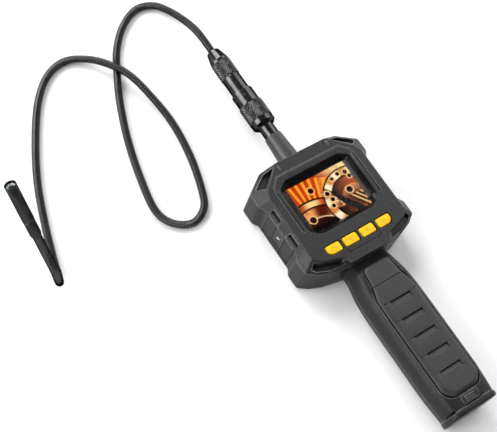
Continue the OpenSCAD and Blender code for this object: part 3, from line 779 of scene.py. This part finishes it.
def ribbed_tube():
    """The tube, its ribs turning round it like a thread, with a smooth sleeve before the camera."""
    sides = 16
    rings = []
    plain = fine_route[:SLEEVE_FROM * ROUTE_STEPS + 1]
    smooth_from = sum((b - a).length for a, b in zip(plain, plain[1:]))
    across = Vector((1, 0, 0))
    last = len(route_points) - 1
    for i, (p, s) in enumerate(zip(route_points, route_dist)):
        ahead = route_points[min(i + 2, last)] - route_points[max(i - 2, 0)]
        t = ahead.normalized()
        across = (across - t * across.dot(t)).normalized()
        other = t.cross(across)
        ring = []
        for k in range(sides):
            a = 2 * math.pi * k / sides
            phase = (s / RIB_PITCH - k / sides) % 1.0
            r = PROBE_R - RIB_DEPTH * (1 - math.sin(math.pi * phase))
            if s > smooth_from:
                r = SLEEVE_R - SLEEVE_LIP * max(0.0, 1 - (s - smooth_from) / SLEEVE_LIP_L)
            q = p + across * (r * math.cos(a)) + other * (r * math.sin(a))
            ring.append((q.x, q.y, q.z))
        rings.append(ring)
    return make_piece("gooseneck_tube", *loft_rings(rings), sharp=50.0, weigh=False)


gooseneck = finished(ribbed_tube(), "handset", TUBE, "tube", "gooseneck")

# ---- camera head ----

head_base = Vector(ROUTE[-1])
head_dir = (head_base - Vector(ROUTE[-2])).normalized()
head_side = head_dir.cross(Vector((0, 0, 1))).normalized()
head_up = head_side.cross(head_dir)
FERRULE_L, CAMERA_L = 13.0, 30.0
base, tip = FERRULE_L, FERRULE_L + CAMERA_L


def on_head(s, r, a):
    p = head_base + head_dir * s + head_side * (r * math.cos(a)) + head_up * (r * math.sin(a))
    return (p.x, p.y, p.z)


def thread(s, a, start, end, pitch, depth):
    """Height of a screw thread between two distances along its axis."""
    if not start <= s <= end:
        return 0.0
    return -depth * abs(((s / pitch + a / (2 * math.pi)) % 1.0) * 2 - 1)


def tip_thread(s, a):
    """Fine thread crests for push-on accessories, just behind the tip."""
    return thread(s, a, tip - 7.95, tip - 1.05, 0.8, 0.16)


ferrule_edge = corners([(0.0, 3.1), (0.9, 3.83), (base - 0.5, 3.83), (base - 0.1, 3.5)], 0.35)
ferrule_profile = [(0.0, 0.5), *ferrule_edge, (base - 0.1, 0.5)]
ferrule = turned_part("camera_ferrule_sleeve", ferrule_profile, HEAD_METAL, "camera_metal", "camera_ferrule",
                      place=on_head, sides=64)
outer = [(base + 0.02, 3.75), (base + 0.3, 4.0)]
outer += [(tip - 8.0 + 0.1 * k, 4.0) for k in range(71)]
outer += corners([(tip - 0.9, 4.0), (tip, 4.0), (tip, 3.4), (tip - 1.0, 3.4)], 0.25)[1:-1]
inner = [(tip - 1.4, 3.36), (base + 1.2, 3.36), (base + 1.2, 0.4), (base + 0.02, 0.4)]
housing = turned_part("camera_housing_sleeve", outer + inner, HEAD_METAL, "camera_metal", "camera_housing",
                      place=on_head, sides=72, ripple=tip_thread)
ring_profile = corners([(tip - 3.4, 1.6), (tip - 3.4, 3.34), (tip - 2.0, 3.34), (tip - 2.0, 1.6)], 0.1,
                       closed=True)
led_ring = turned_part("led_ring_board", ring_profile, LED, "led", "led_ring",
                       place=on_head, sides=64, ring=True)


def led_lamps():
    """Six small domed lamps round the lens."""
    verts, faces = [], []
    for k in range(6):
        a = 2 * math.pi * (k + 0.5) / 6
        centre = Vector(on_head(tip - 2.05, 2.45, a))
        rings = []
        for h, r in ((0.0, 0.52), (0.2, 0.5), (0.33, 0.36), (0.38, 0.12)):
            rings.append([tuple(centre + head_dir * h + head_side * x + head_up * y)
                          for x, y in circle(0, 0, r, 16)])
        v, f = loft_rings(rings)
        faces += [tuple(i + len(verts) for i in face) for face in f]
        verts += v
    return make_piece("led_lamps", verts, faces)


lamps = finished(led_lamps(), "handset", LAMP, "led")
module_profile = corners(
    [(tip - 12.0, 0.3), (tip - 12.0, 2.8), (tip - 4.0, 2.8), (tip - 4.0, 1.5), (tip - 2.1, 1.5),
     (tip - 2.1, 1.0), (tip - 2.5, 0.75), (tip - 2.5, 0.3)], 0.12)
camera_module = turned_part("camera_barrel", module_profile, NYLON, "black_plastic", "camera_module",
                            place=on_head, sides=48)
lens_profile = corners([(tip - 1.6, 0.2), (tip - 1.6, 3.33), (tip - 0.7, 3.33), (tip - 0.62, 0.2)], 0.12)
lens = turned_part("lens_pane", lens_profile, LENS, "lens", "lens_window", place=on_head, sides=64)

# ---- plug and socket ----


def diamond(y0, y1, count, depth, pitch):
    """Height of a diamond knurl between y0 and y1, with plain ends."""
    def height(s, a):
        if s < y0 or s > y1:
            return 0.0
        u = count * a / (2 * math.pi)
        v = (s - y0) / pitch
        ridge = (abs(((u + v) % 1.0) * 2 - 1) + abs(((u - v) % 1.0) * 2 - 1)) / 2
        return -depth * ridge
    return height


def fine(y0, y1, r, step):
    """A straight run of a profile, with points about a step apart."""
    n = max(1, round((y1 - y0) / step))
    return [(y0 + (y1 - y0) * k / n, r) for k in range(n + 1)]


NUT_BORE = 6.68
KNURL_SHARP = 24.0
nut_profile = corners([(134.1, 7.5), (117.0, 6.1), (117.0, 7.25), (118.8, 9.1), (122.3, 9.1)], 0.25)[1:]
nut_profile += [(122.5, 8.85), (122.65, 8.85), (122.9, 9.35)]
nut_profile += fine(123.1, 136.4, 9.4, 0.27)
nut_profile += [(136.75, 9.2), (136.9, 8.35)]
nut_profile += corners([(137.0, 8.35), (143.3, 8.4), (143.4, 8.05), (143.95, 8.05), (144.05, 8.4),
                        (147.9, 8.4), (147.9, NUT_BORE)], 0.12)
nut_profile += [(134.0, NUT_BORE), (134.0, 7.5), (129.8, 7.5), (129.8, 6.1), (117.1, 6.1)]
nut = turned_part("coupling_nut_knurled", nut_profile, METAL, "connector", "coupling_nut", body="nut",
                  sides=192, ripple=diamond(123.1, 136.4, 24, 0.8, 2.1), ring=True, sharp=KNURL_SHARP)

sleeve_profile = corners(
    [(130.2, 4.7), (130.2, 7.1), (133.7, 7.1), (133.7, 6.6), (148.2, 6.6), (148.2, 7.1), (161.9, 7.1),
     (162.1, 6.85), (162.7, 6.85), (162.7, 4.7)], 0.12, closed=True)
sleeve = turned_part("plug_sleeve_turned", sleeve_profile, METAL, "connector", "plug_sleeve",
                     sides=128, ring=True)
clamp_profile = [(162.76, 3.05), (162.76, 7.2), (163.1, 7.55)]
clamp_profile += fine(163.3, 175.8, 7.6, 0.25)
clamp_profile += [(176.1, 7.4), (176.35, 7.2), (176.35, 3.05)]
clamp = turned_part("clamp_nut_knurled", clamp_profile, METAL, "connector", "clamp_nut",
                    sides=168, ripple=diamond(163.3, 175.8, 21, 0.75, 1.95), ring=True, sharp=KNURL_SHARP)
nose_profile = corners([(176.4, 3.05), (176.4, 7.15), (178.2, 7.15), (186.9, 5.0), (186.9, 3.05)], 0.3,
                       closed=True)
nose = turned_part("nose_cone_turned", nose_profile, METAL, "connector", "nose_cone", sides=128, ring=True)
boot_profile = corners([(77.05, 5.72), (77.05, 10.0), (79.4, 10.0), (79.4, 8.15), (84.5, 8.05), (107.5, 6.6),
                        (107.5, 5.72)], 0.35, closed=True)
turned_part("neck_boot_moulded", boot_profile, BOOT, "soft_rubber", "neck_boot", ring=True)


def socket_thread(s, a):
    """The socket's screw thread, under the coupling nut."""
    return thread(s, a, 118.5, 127.5, 1.0, 0.35)


socket_profile = corners([(74.6, 4.1), (74.6, 8.0), (77.0, 8.0), (77.0, 5.7), (116.4, 5.7), (116.6, 5.5),
                          (117.0, 5.5), (117.2, 5.7)], 0.08)
socket_profile += fine(118.0, 128.0, 5.7, 0.125) + [(128.4, 5.5), (128.95, 5.0), (128.95, 4.1)]
turned_part("socket_threaded", socket_profile, METAL, "connector", "socket_body",
            ripple=socket_thread, ring=True)

# ---- head of the handset ----

HEAD_T, PART_H = 34.0, 26.4     # thickness of the head, and height of its split
MIDDLE = (0, 38)
SCREWS = ((-38, 66), (38, 66), (-38, 11), (38, 11))
head_right = [(16, -6), (31.5, -3), (40.5, 0.5), (47.3, 5.3), (47.3, 15.8), (44.4, 20), (44.4, 57.3),
              (47.3, 61.5), (47.3, 72.4), (33, 82.5)]
face_right = [(17.5, -5.2), (19.8, 0.8), (36.3, 5.8), (40, 10.2), (40.1, 15.8), (40.2, 20), (40.2, 57.3),
              (40.1, 61.5), (37.6, 66.8), (21.5, 82)]
CORNER_R = [1.0, 1.6, 1.6, 1.2, 1.2, 1.5, 1.5, 1.2, 1.2, 1.6]
corner_radii = CORNER_R + CORNER_R[::-1]
outline = rounded(mirrored(head_right), corner_radii)
face_outline = rounded(mirrored(face_right), corner_radii)
foot_outline = rounded(mirrored([(x * 0.972, y * 0.97 + 1.1) for x, y in head_right]), corner_radii)
# pockets in the corner bumpers, each inside a wall of its own; right half
lower_slot = [(21.2, 0.2), (36.9, 5.2), (39.9, 7.8), (43.2, 4.9), (40.0, 1.9), (31.2, -1.6), (21.4, -3.3)]
upper_slot = [(24.3, 79.9), (38.3, 69.0), (42.9, 71.6), (42.5, 73.0), (32.4, 79.6)]


def side_profile(low, corner, high, inward, d0, d1):
    """Rings from a low ring over a rounded corner ring to a high ring and a rounded rim."""
    stations = None
    for a, b, c in zip(low, corner, high):
        v = Vector((c[0] - MIDDLE[0], c[1] - MIDDLE[1], 0))
        flat = Vector(c) - v.normalized() * inward
        path = [Vector(a)] + bezier_stations(a, b, c, d0, d0) + bezier_stations(b, c, flat, d1, d1, 5)
        if stations is None:
            stations = [[] for _ in path]
        for ring, p in zip(stations, path):
            ring.append(tuple(p))
    return stations


def side_relief_shapes(z_low, z_high):
    """Cutters for the grooves, sunk panels and notches on the sides of the head."""
    shapes = []
    for side in (-1, 1):
        for y in (22.8, 33.8, 43.2, 54.5):
            shapes.append(box_cutter(*sorted((side * 43.6, side * 60)), y - 0.35, y + 0.35,
                                     max(2.5, z_low), min(31, z_high)))
        for y in (22.8, 43.2) if z_low < 20 else ():
            shapes.append(box_cutter(*sorted((side * 43.95, side * 60)), y + 0.36, y + 10.6, 2.5, 26.0))
    return shapes


def rod_x(x0, x1, y, z, r, sides):
    """A round rod along X."""
    return loft_rings([[(x, *p) for p in circle(y, z, r, sides)] for x in (x0, x1)])


def offset_band(path, half):
    """A closed outline half a width to each side of an open path."""
    left, right_side = [], []
    for i, p in enumerate(path):
        a = Vector(path[max(i - 1, 0)])
        b = Vector(path[min(i + 1, len(path) - 1)])
        d = (b - a).normalized()
        n = Vector((-d.y, d.x)) * half
        left.append(tuple(Vector(p) + n))
        right_side.append(tuple(Vector(p) - n))
    return left + right_side[::-1]


def front_shell():
    """The front half of the head, with its recess, pockets, grooves and button openings."""
    rings = [at(inset(outline, 0.4, MIDDLE), PART_H)]
    rings += side_profile(at(outline, PART_H + 0.3), at(outline, PART_H + 0.9), at(face_outline, HEAD_T),
                          4.0, 0.25, 0.5)
    shell = make_piece("head_front_shell", *loft_rings(rings))
    recess_low = mirrored([(20.5, 25.2), (24.6, 25.3), (24.7, 29.5), (24.7, 62), (22, 62.4)])
    recess_top = mirrored([(21.3, 22.2), (27.5, 25.4), (30.1, 29.5), (30.1, 62.8), (22.8, 67.4)])
    rim_top = mirrored([(21.7, 21.0), (28.4, 24.7), (31.4, 29.2), (31.4, 63.2), (23.3, 69.0)])
    radii = [1.0, 1.2, 1.2, 1.2, 1.2] * 2
    recess = loft_rings([
        at(rounded(recess_low, 0.5), 30.49), at(rounded(recess_top, radii), HEAD_T - 0.75),
        at(rounded(rim_top, radii), HEAD_T + 0.02), at(rounded(rim_top, radii), HEAD_T + 2),
    ])
    shapes = [
        box_cutter(-31, 31, 4.5, 71, PART_H - 2, HEAD_T - 5.2),
        recess,
        box_cutter(-24.7, 24.7, DISPLAY_Y - 18.6, DISPLAY_Y + 18.6, 20, 31),
    ]
    for side in (-1, 1):
        for shape in (lower_slot, upper_slot):
            placed = [(side * x, y) for x, y in shape]
            c = middle_of(placed)
            soft = rounded(placed, 0.7)
            shapes.append(loft_rings([at(inset(soft, 0.35, c), PART_H + 0.8), at(soft, PART_H + 2.0),
                                      at(inset(soft, -0.2, c), 42)]))
        for y in (23.4, 43.8):
            shapes.append(box_cutter(*sorted((side * 41.2, side * 47.5)), y, y + 10, 28.3, 31.9))
        x = side * 33.6
        shapes.append(prism(rounded([(x - 0.5, 29), (x + 0.5, 29), (x + 0.5, 63), (x - 0.5, 63)], 0.45),
                            HEAD_T - 1, HEAD_T + 1, 0.15))
    shapes += side_relief_shapes(PART_H - 1, 31)
    for i in range(4):
        shapes.append(prism(button_outline(i, 0.6), 20, HEAD_T + 2))
        shapes.append(prism(button_outline(i, 0.6), HEAD_T - 0.3, HEAD_T + 0.5, 0.35))
    # the panel line under the middle buttons: a shallow tray outline
    for x0, y0, x1, y1 in ((-14.6, 5.3, -13.6, 1.7), (-13.6, 1.7, 13.6, 1.7), (13.6, 1.7, 14.6, 5.3)):
        d = Vector((x1 - x0, y1 - y0)).normalized()
        n = Vector((-d.y, d.x)) * 0.3
        p, q = Vector((x0, y0)) - d * 0.2, Vector((x1, y1)) + d * 0.2
        line = [tuple(p + n), tuple(p - n), tuple(q - n), tuple(q + n)]
        shapes.append(prism(line, HEAD_T - 1.0, HEAD_T + 1))
    # the shallow line that goes on from the long grooves, round the top of the window
    path = [(-33.6, 62.6), (-33.2, 66.6), (-27.0, 72.6), (27.0, 72.6), (33.2, 66.6), (33.6, 62.6)]
    shapes.append(prism(offset_band(path, 0.28), HEAD_T - 0.45, HEAD_T + 1))
    shapes += [prism(circle(x, y, 1.6, 24), 20, 29.2) for x, y in SCREWS]
    cut(shell, shapes)
    ribs = []
    for side in (-1, 1):
        for k in range(3):
            x = side * (20.7 + 0.55 * k)
            y = 76.0 + 0.2 * k
            rib = rounded([(x - 0.17, y), (x + 0.17, y), (x + 0.17, 79.8), (x - 0.17, 79.8)], 0.15, 3)
            ribs.append(prism(rib, HEAD_T - 0.5, HEAD_T + 0.3, -0.05))
    cut(shell, ribs, "UNION")
    tidy_mesh(shell)
    return shell


def button_outline(index, grow):
    """Outline of a button; the outer two have their outer lower corner cut."""
    side = -1 if index < 2 else 1
    w, l = 6.1 + grow, 3.6 + grow
    if index in (0, 3):
        points = [(-w, -l), (w - 3.0, -l), (w, -l + 2.4), (w, l), (-w, l)]
    else:
        points = [(-w, -l), (w, -l), (w, l), (-w, l)]
    x = (index - 1.5) * BUTTON_PITCH
    placed = [(x + side * px, BUTTON_Y + py) for px, py in points]
    if side < 0:
        placed = placed[::-1]
    return rounded(placed, 1.5 + grow * 0.5)


finished(front_shell(), "handset", FACE, "shell", "front_shell")

def button_cap(name, index):
    """A crowned key with its flange and stem."""
    shape = button_outline(index, 0)
    x, y = (index - 1.5) * BUTTON_PITCH, BUTTON_Y
    levels = [(28.0, 0.0), (32.3, 0.0), (32.75, 0.06), (33.1, 0.22), (33.32, 0.55), (33.42, 1.1),
              (33.46, 1.9)]
    cap = make_piece(f"button_{name}_cap", *loft_rings([at(inset(shape, d, (x, y)), z) for z, d in levels]))
    flange = [(x - 6.8, y - 4.3), (x + 6.8, y - 4.3), (x + 6.8, y + 4.3), (x - 6.8, y + 4.3)]
    cut(cap, [prism(rounded(flange, 0.6), 26.8, 28.2), prism(circle(x, y, 2, 24), 23.4, 27.2)], "UNION")
    tidy_mesh(cap, 40.0)
    return cap


for index, name in enumerate(("left_outer", "left_inner", "right_inner", "right_outer")):
    finished(button_cap(name, index), f"button_{index + 1}", BUTTON, "button", f"button_{name}")

# ---- handle ----

HANDLE_T, HANDLE_PART = 28.2, 14.0      # thickness of the handle, and height of its split
CAP_Y = -124.4                          # where the end cap starts
HINGE_Y, HINGE_Z = -126.1, 3
handle_half = [(0, 0), (11.5, 0.3), (16.2, 1.6), (19.8, 4.8), (21.8, 9.5), (22.3, 14), (22, 18.5), (20.6, 23),
               (18.3, 26.2), (15.9, 27.8), (8, 28.2)]
pad_right = [(10.6, -115.5), (15.7, -109.6), (15.7, -36.5), (12, -25), (11, -14.6), (9.3, -12.3)]


def smooth_stations(stations):
    """Handle stations with more between them, on a smooth curve."""
    out = []
    steps = 4
    n = len(stations)
    for i in range(n - 1):
        p0 = Vector(stations[max(i - 1, 0)])
        p1, p2 = Vector(stations[i]), Vector(stations[i + 1])
        p3 = Vector(stations[min(i + 2, n - 1)])
        for k in range(steps):
            t = k / steps
            c = spline(p0, p1, p2, p3, t)
            line = p1.lerp(p2, t)
            out.append((line[0], c[1] * 0.5 + line[1] * 0.5, min(c[2] * 0.5 + line[2] * 0.5, HANDLE_T)))
    out.append(tuple(stations[-1]))
    return out


# the distance along, the scale of the width and the height of the top
handle_stations = [
    (1, 0.79, 23), (-9, 0.81, 25), (-14, 0.83, 27.6), (-25, 0.94, HANDLE_T), (-37, 0.99, HANDLE_T),
    (-54, 1, HANDLE_T), (-104, 1, HANDLE_T), (-116, 0.96, HANDLE_T), (CAP_Y, 0.93, HANDLE_T - 0.4),
]


def handle_ring(y, sx, top):
    """The handle's section at y, its width scaled and its upper half stretched to end at top."""
    half = []
    for x, z in handle_half:
        if z > HANDLE_PART:
            z = HANDLE_PART + (z - HANDLE_PART) * (top - HANDLE_PART) / (HANDLE_T - HANDLE_PART)
        half.append((x * sx, z))
    ring = half + [(-x, z) for x, z in reversed(half[1:])]
    return [(x, y, z) for x, z in rounded(ring, 2.2, 4)]


def handle_solid(name):
    rings = [handle_ring(*s) for s in smooth_stations(handle_stations)]
    return make_piece(name, *loft_rings(rings), sharp=40.0)


under_split = box_cutter(-60, 60, -140, 10, -5, HANDLE_PART)
handle_hollow = [box_cutter(-15.8, 15.8, CAP_Y - 1, -18, 4.2, 23.6), box_cutter(-12.5, 12.5, -19, 2, 4, 20.5)]


def handle_front():
    solid = handle_solid("handle_front_cover")

    def round_pad(gap, radius):
        return rounded(mirrored([(x + gap, y + (gap if y > -60 else -gap)) for x, y in pad_right]), radius)

    narrow, wide = round_pad(1.05, 2.9), round_pad(1.5, 3.2)
    cut(solid, [
        under_split,
        *handle_hollow,
        loft_rings([at(narrow, 26.5), at(narrow, 27.8), at(wide, 28.35), at(wide, 31)]),
        box_cutter(-6.9, 6.9, -124.5, -117.8, 20, 40),
    ])
    tidy_mesh(solid, 40.0)
    return solid


finished(handle_front(), "handset", SHELL, "shell", "handle_front")


def rear_shell():
    """The rear half of the head and of the handle, hollow, with its screw pillars and the cap's hinge."""
    rings = side_profile(at(foot_outline, 0), at(outline, 1.6), at(outline, PART_H), 0.4, 0.8, 0.25)
    head = make_piece("rear_housing", *loft_rings(rings))
    cavity_right = [(14, -2.8), (31, 0.2), (39.4, 3.8), (44.2, 7.6), (44.2, 14.6), (41.5, 18.8),
                    (41.5, 58.5), (44.2, 62.6), (44.2, 70.8), (31.8, 79.4)]
    cut(head, [
        prism(rounded(mirrored(cavity_right), 1.0, 3), 2.6, 40),
        box_cutter(-12.5, 12.5, -10, 4, 4, 20.5),
        loft_rings([[(x, y, z) for x, z in circle(0, AXIS_Z, 8.25, 64)] for y in (72, 92)]),
        box_cutter(-60, -42.9, 33.7, 43.3, 8.3, 20.9),
        rod_x(-60, -35, 38.5, 15, 3.2, 32),
    ] + side_relief_shapes(0, PART_H + 1))
    upper = handle_solid("upper")
    cut(upper, [under_split])
    lower = handle_solid("lower")
    cut(lower, [box_cutter(-60, 60, -140, 10, HANDLE_PART, 60), box_cutter(-60, 60, -3.2, 10, -5, 60),
                *handle_hollow])
    for tool, operation in ((upper, "DIFFERENCE"), (lower, "UNION")):
        verts = [tuple(c / MM for c in v.co) for v in tool.data.vertices]
        cut(head, [(verts, [tuple(p.vertices) for p in tool.data.polygons])], operation)
        bpy.data.objects.remove(tool)
    cut(head, [prism(circle(x, y, 3.8, 32), 1.6, PART_H) for x, y in SCREWS], "UNION")

    def barrel(half, r):
        return rod_x(-half, half, HINGE_Y, HINGE_Z, r, 40)

    cut(head, [barrel(17, 3.1)])
    cut(head, [barrel(5.6, 2.7), box_cutter(-5.6, 5.6, HINGE_Y, CAP_Y + 2.4, 0.4, 3.4)], "UNION")
    bores = []
    for x, y in SCREWS:
        bores += [prism(circle(x, y, 3.2, 32), -1, 2.4), prism(circle(x, y, 1.65, 32), -1, 40)]
    cut(head, bores + [barrel(20, 1.05)])
    tidy_mesh(head)
    return head


finished(rear_shell(), "handset", SHELL, "shell", "rear_shell")


def grip_pad():
    """The ribbed pad: a wide chamfer all round, a groove near the head and five sunk ramps."""
    shape = rounded(mirrored(pad_right), 2.4)

    def shrink(d):
        # moves each point in by d along X, and along Y near the ends
        out = []
        for x, y in shape:
            sx = math.copysign(max(abs(x) - d, 0), x)
            sy = y + d if y < -108 else y - d * 0.5 if y > -16 else y
            out.append((sx, sy))
        return out

    rings = [at(shape, 26.7), at(shape, 28.05)]
    chamfer = ((0.12, 28.35), (0.4, 28.6), (1.9, 29.22), (2.3, 29.36), (3.0, 29.4))
    rings += [at(shrink(d), z) for d, z in chamfer]
    pad = make_piece("grip_pad_moulded", *loft_rings(rings))
    shapes = [prism([(-14, -26.9), (14, -26.9), (14, -26.15), (-14, -26.15)], 28.2, 31)]
    for i in range(5):
        y = -40.3 - 14.1 * i
        shapes.append(([
            (-8.9, y - 4.2, 28.8), (8.9, y - 4.2, 28.8), (8.9, y, 27.7), (-8.9, y, 27.7),
            (-9.3, y - 4.5, 31), (9.3, y - 4.5, 31), (9.1, y + 0.1, 31), (-9.1, y + 0.1, 31),
        ], BOX_FACES))
        shapes.append(box_cutter(8.8, 17, y - 0.4, y, 28.7, 31))
        shapes.append(box_cutter(-17, -8.8, y - 0.4, y, 28.7, 31))
    cut(pad, shapes)
    tidy_mesh(pad, 30.0)
    return pad


finished(grip_pad(), "handset", RUBBER, "soft_rubber", "grip_pad")

# ---- pieces that keep the CAD shape ----

for node, name, where, width, segments, body, material, slot in (
    ("end_cap", "end_cap_moulded", lambda p: p.z > 8 and p.y < -127.5, 0.5, 3, "cap", SHELL, "shell"),
    ("cap_latch", "cap_latch_key", lambda p: p.z > 27.5, 0.2, 2, "latch", SHELL, "shell"),
    ("port_flap", "port_flap_moulded", lambda p: p.z > 9.6, 0.18, 2, "flap", FLAP, "soft_rubber"),
    ("housing_screws", "housing_screws_plated", lambda p: p.z < 1, 0.15, 2, "handset", STEEL, "screw_steel"),
    ("screen_window", "screen_window_pane", lambda p: True, 0.15, 2, "handset", PANE, "screen"),
    ("lcd_panel", "display_panel", lambda p: True, 0.15, 2, "handset", PICTURE, "panel"),
):
    piece = copy_node(node, name)
    soften(piece, where, width, segments)
    tidy_mesh(piece)
    finished(piece, body, material, slot, node)

for node, material in (
    ("lcd_frame", TIN), ("main_board", BOARD), ("keypad_membrane", SILICONE), ("port_jack", NYLON),
    ("cap_hinge_pin", STEEL), ("battery_carrier", NYLON), ("batteries", BATTERY), ("battery_contacts", TIN),
    ("socket_insert", NYLON), ("socket_pins", GOLD), ("signal_lead", NYLON), ("power_lead", RED_PVC),
    ("plug_seal", RUBBER), ("plug_insert", NYLON),
):
    paint(NODES[node], material)

# ---- points along the cord every 2 mm, not kept ----

[tuple(c * MM for c in p) for p in even_points(fine_route, 2.0)[0]]

# ---- floor, lights and world ----

FLOOR_HALF = 6.0
FLOOR_Z = -0.0003

floor_mesh = bpy.data.meshes.new("floor")
floor_mesh.from_pydata(
    [(x * FLOOR_HALF, y * FLOOR_HALF, 0) for x, y in ((-1, -1), (1, -1), (1, 1), (-1, 1))],
    [], [(0, 1, 2, 3)])
floor = add_object("floor", floor_mesh)
floor.location.z = FLOOR_Z
paper = new_nodes("floor_paper")
paper.set(Base_Color=paper.mix(paper.noise(200.0), (0.93, 0.93, 0.93), (0.95, 0.95, 0.95)),
          Roughness=0.9, Specular_IOR_Level=0.1)
paint(floor, paper.owner)

# the world is pale at the horizon and darker above
world = bpy.data.worlds.new("studio")
bpy.context.scene.world = world
sky = Nodes(world)
height = sky.split(sky.node("ShaderNodeTexCoord").outputs["Generated"])[2]
sky.feed(sky.tree.nodes["Background"].inputs["Color"],
         sky.mix(sky.spread(height, 0.0, 0.28), (0.8, 0.8, 0.8), (0.15, 0.15, 0.15)))

LIGHT_AIM = Vector((-0.03, 0.12, 0.0))
for name, place, width, height, power in (
    ("left_softbox", (-1.25, 0.44, 0.66), 1.6, 1.0, 31),
    ("right_softbox", (1.20, 0.30, 0.95), 1.6, 1.3, 18),
    ("back_softbox", (-0.15, 1.45, 1.25), 1.4, 0.9, 32),
):
    data = bpy.data.lights.new(name, "AREA")
    data.shape = "RECTANGLE"
    data.size, data.size_y = width, height
    data.energy = power
    light = add_object(name, data)
    light.location = place
    light.rotation_mode = "QUATERNION"
    light.rotation_quaternion = (LIGHT_AIM - Vector(place)).to_track_quat("-Z", "Y")
bpy.context.scene.view_settings.view_transform = "Standard"
bpy.context.scene.view_settings.look = "None"

# ---- finish ----

bpy.context.view_layer.update()
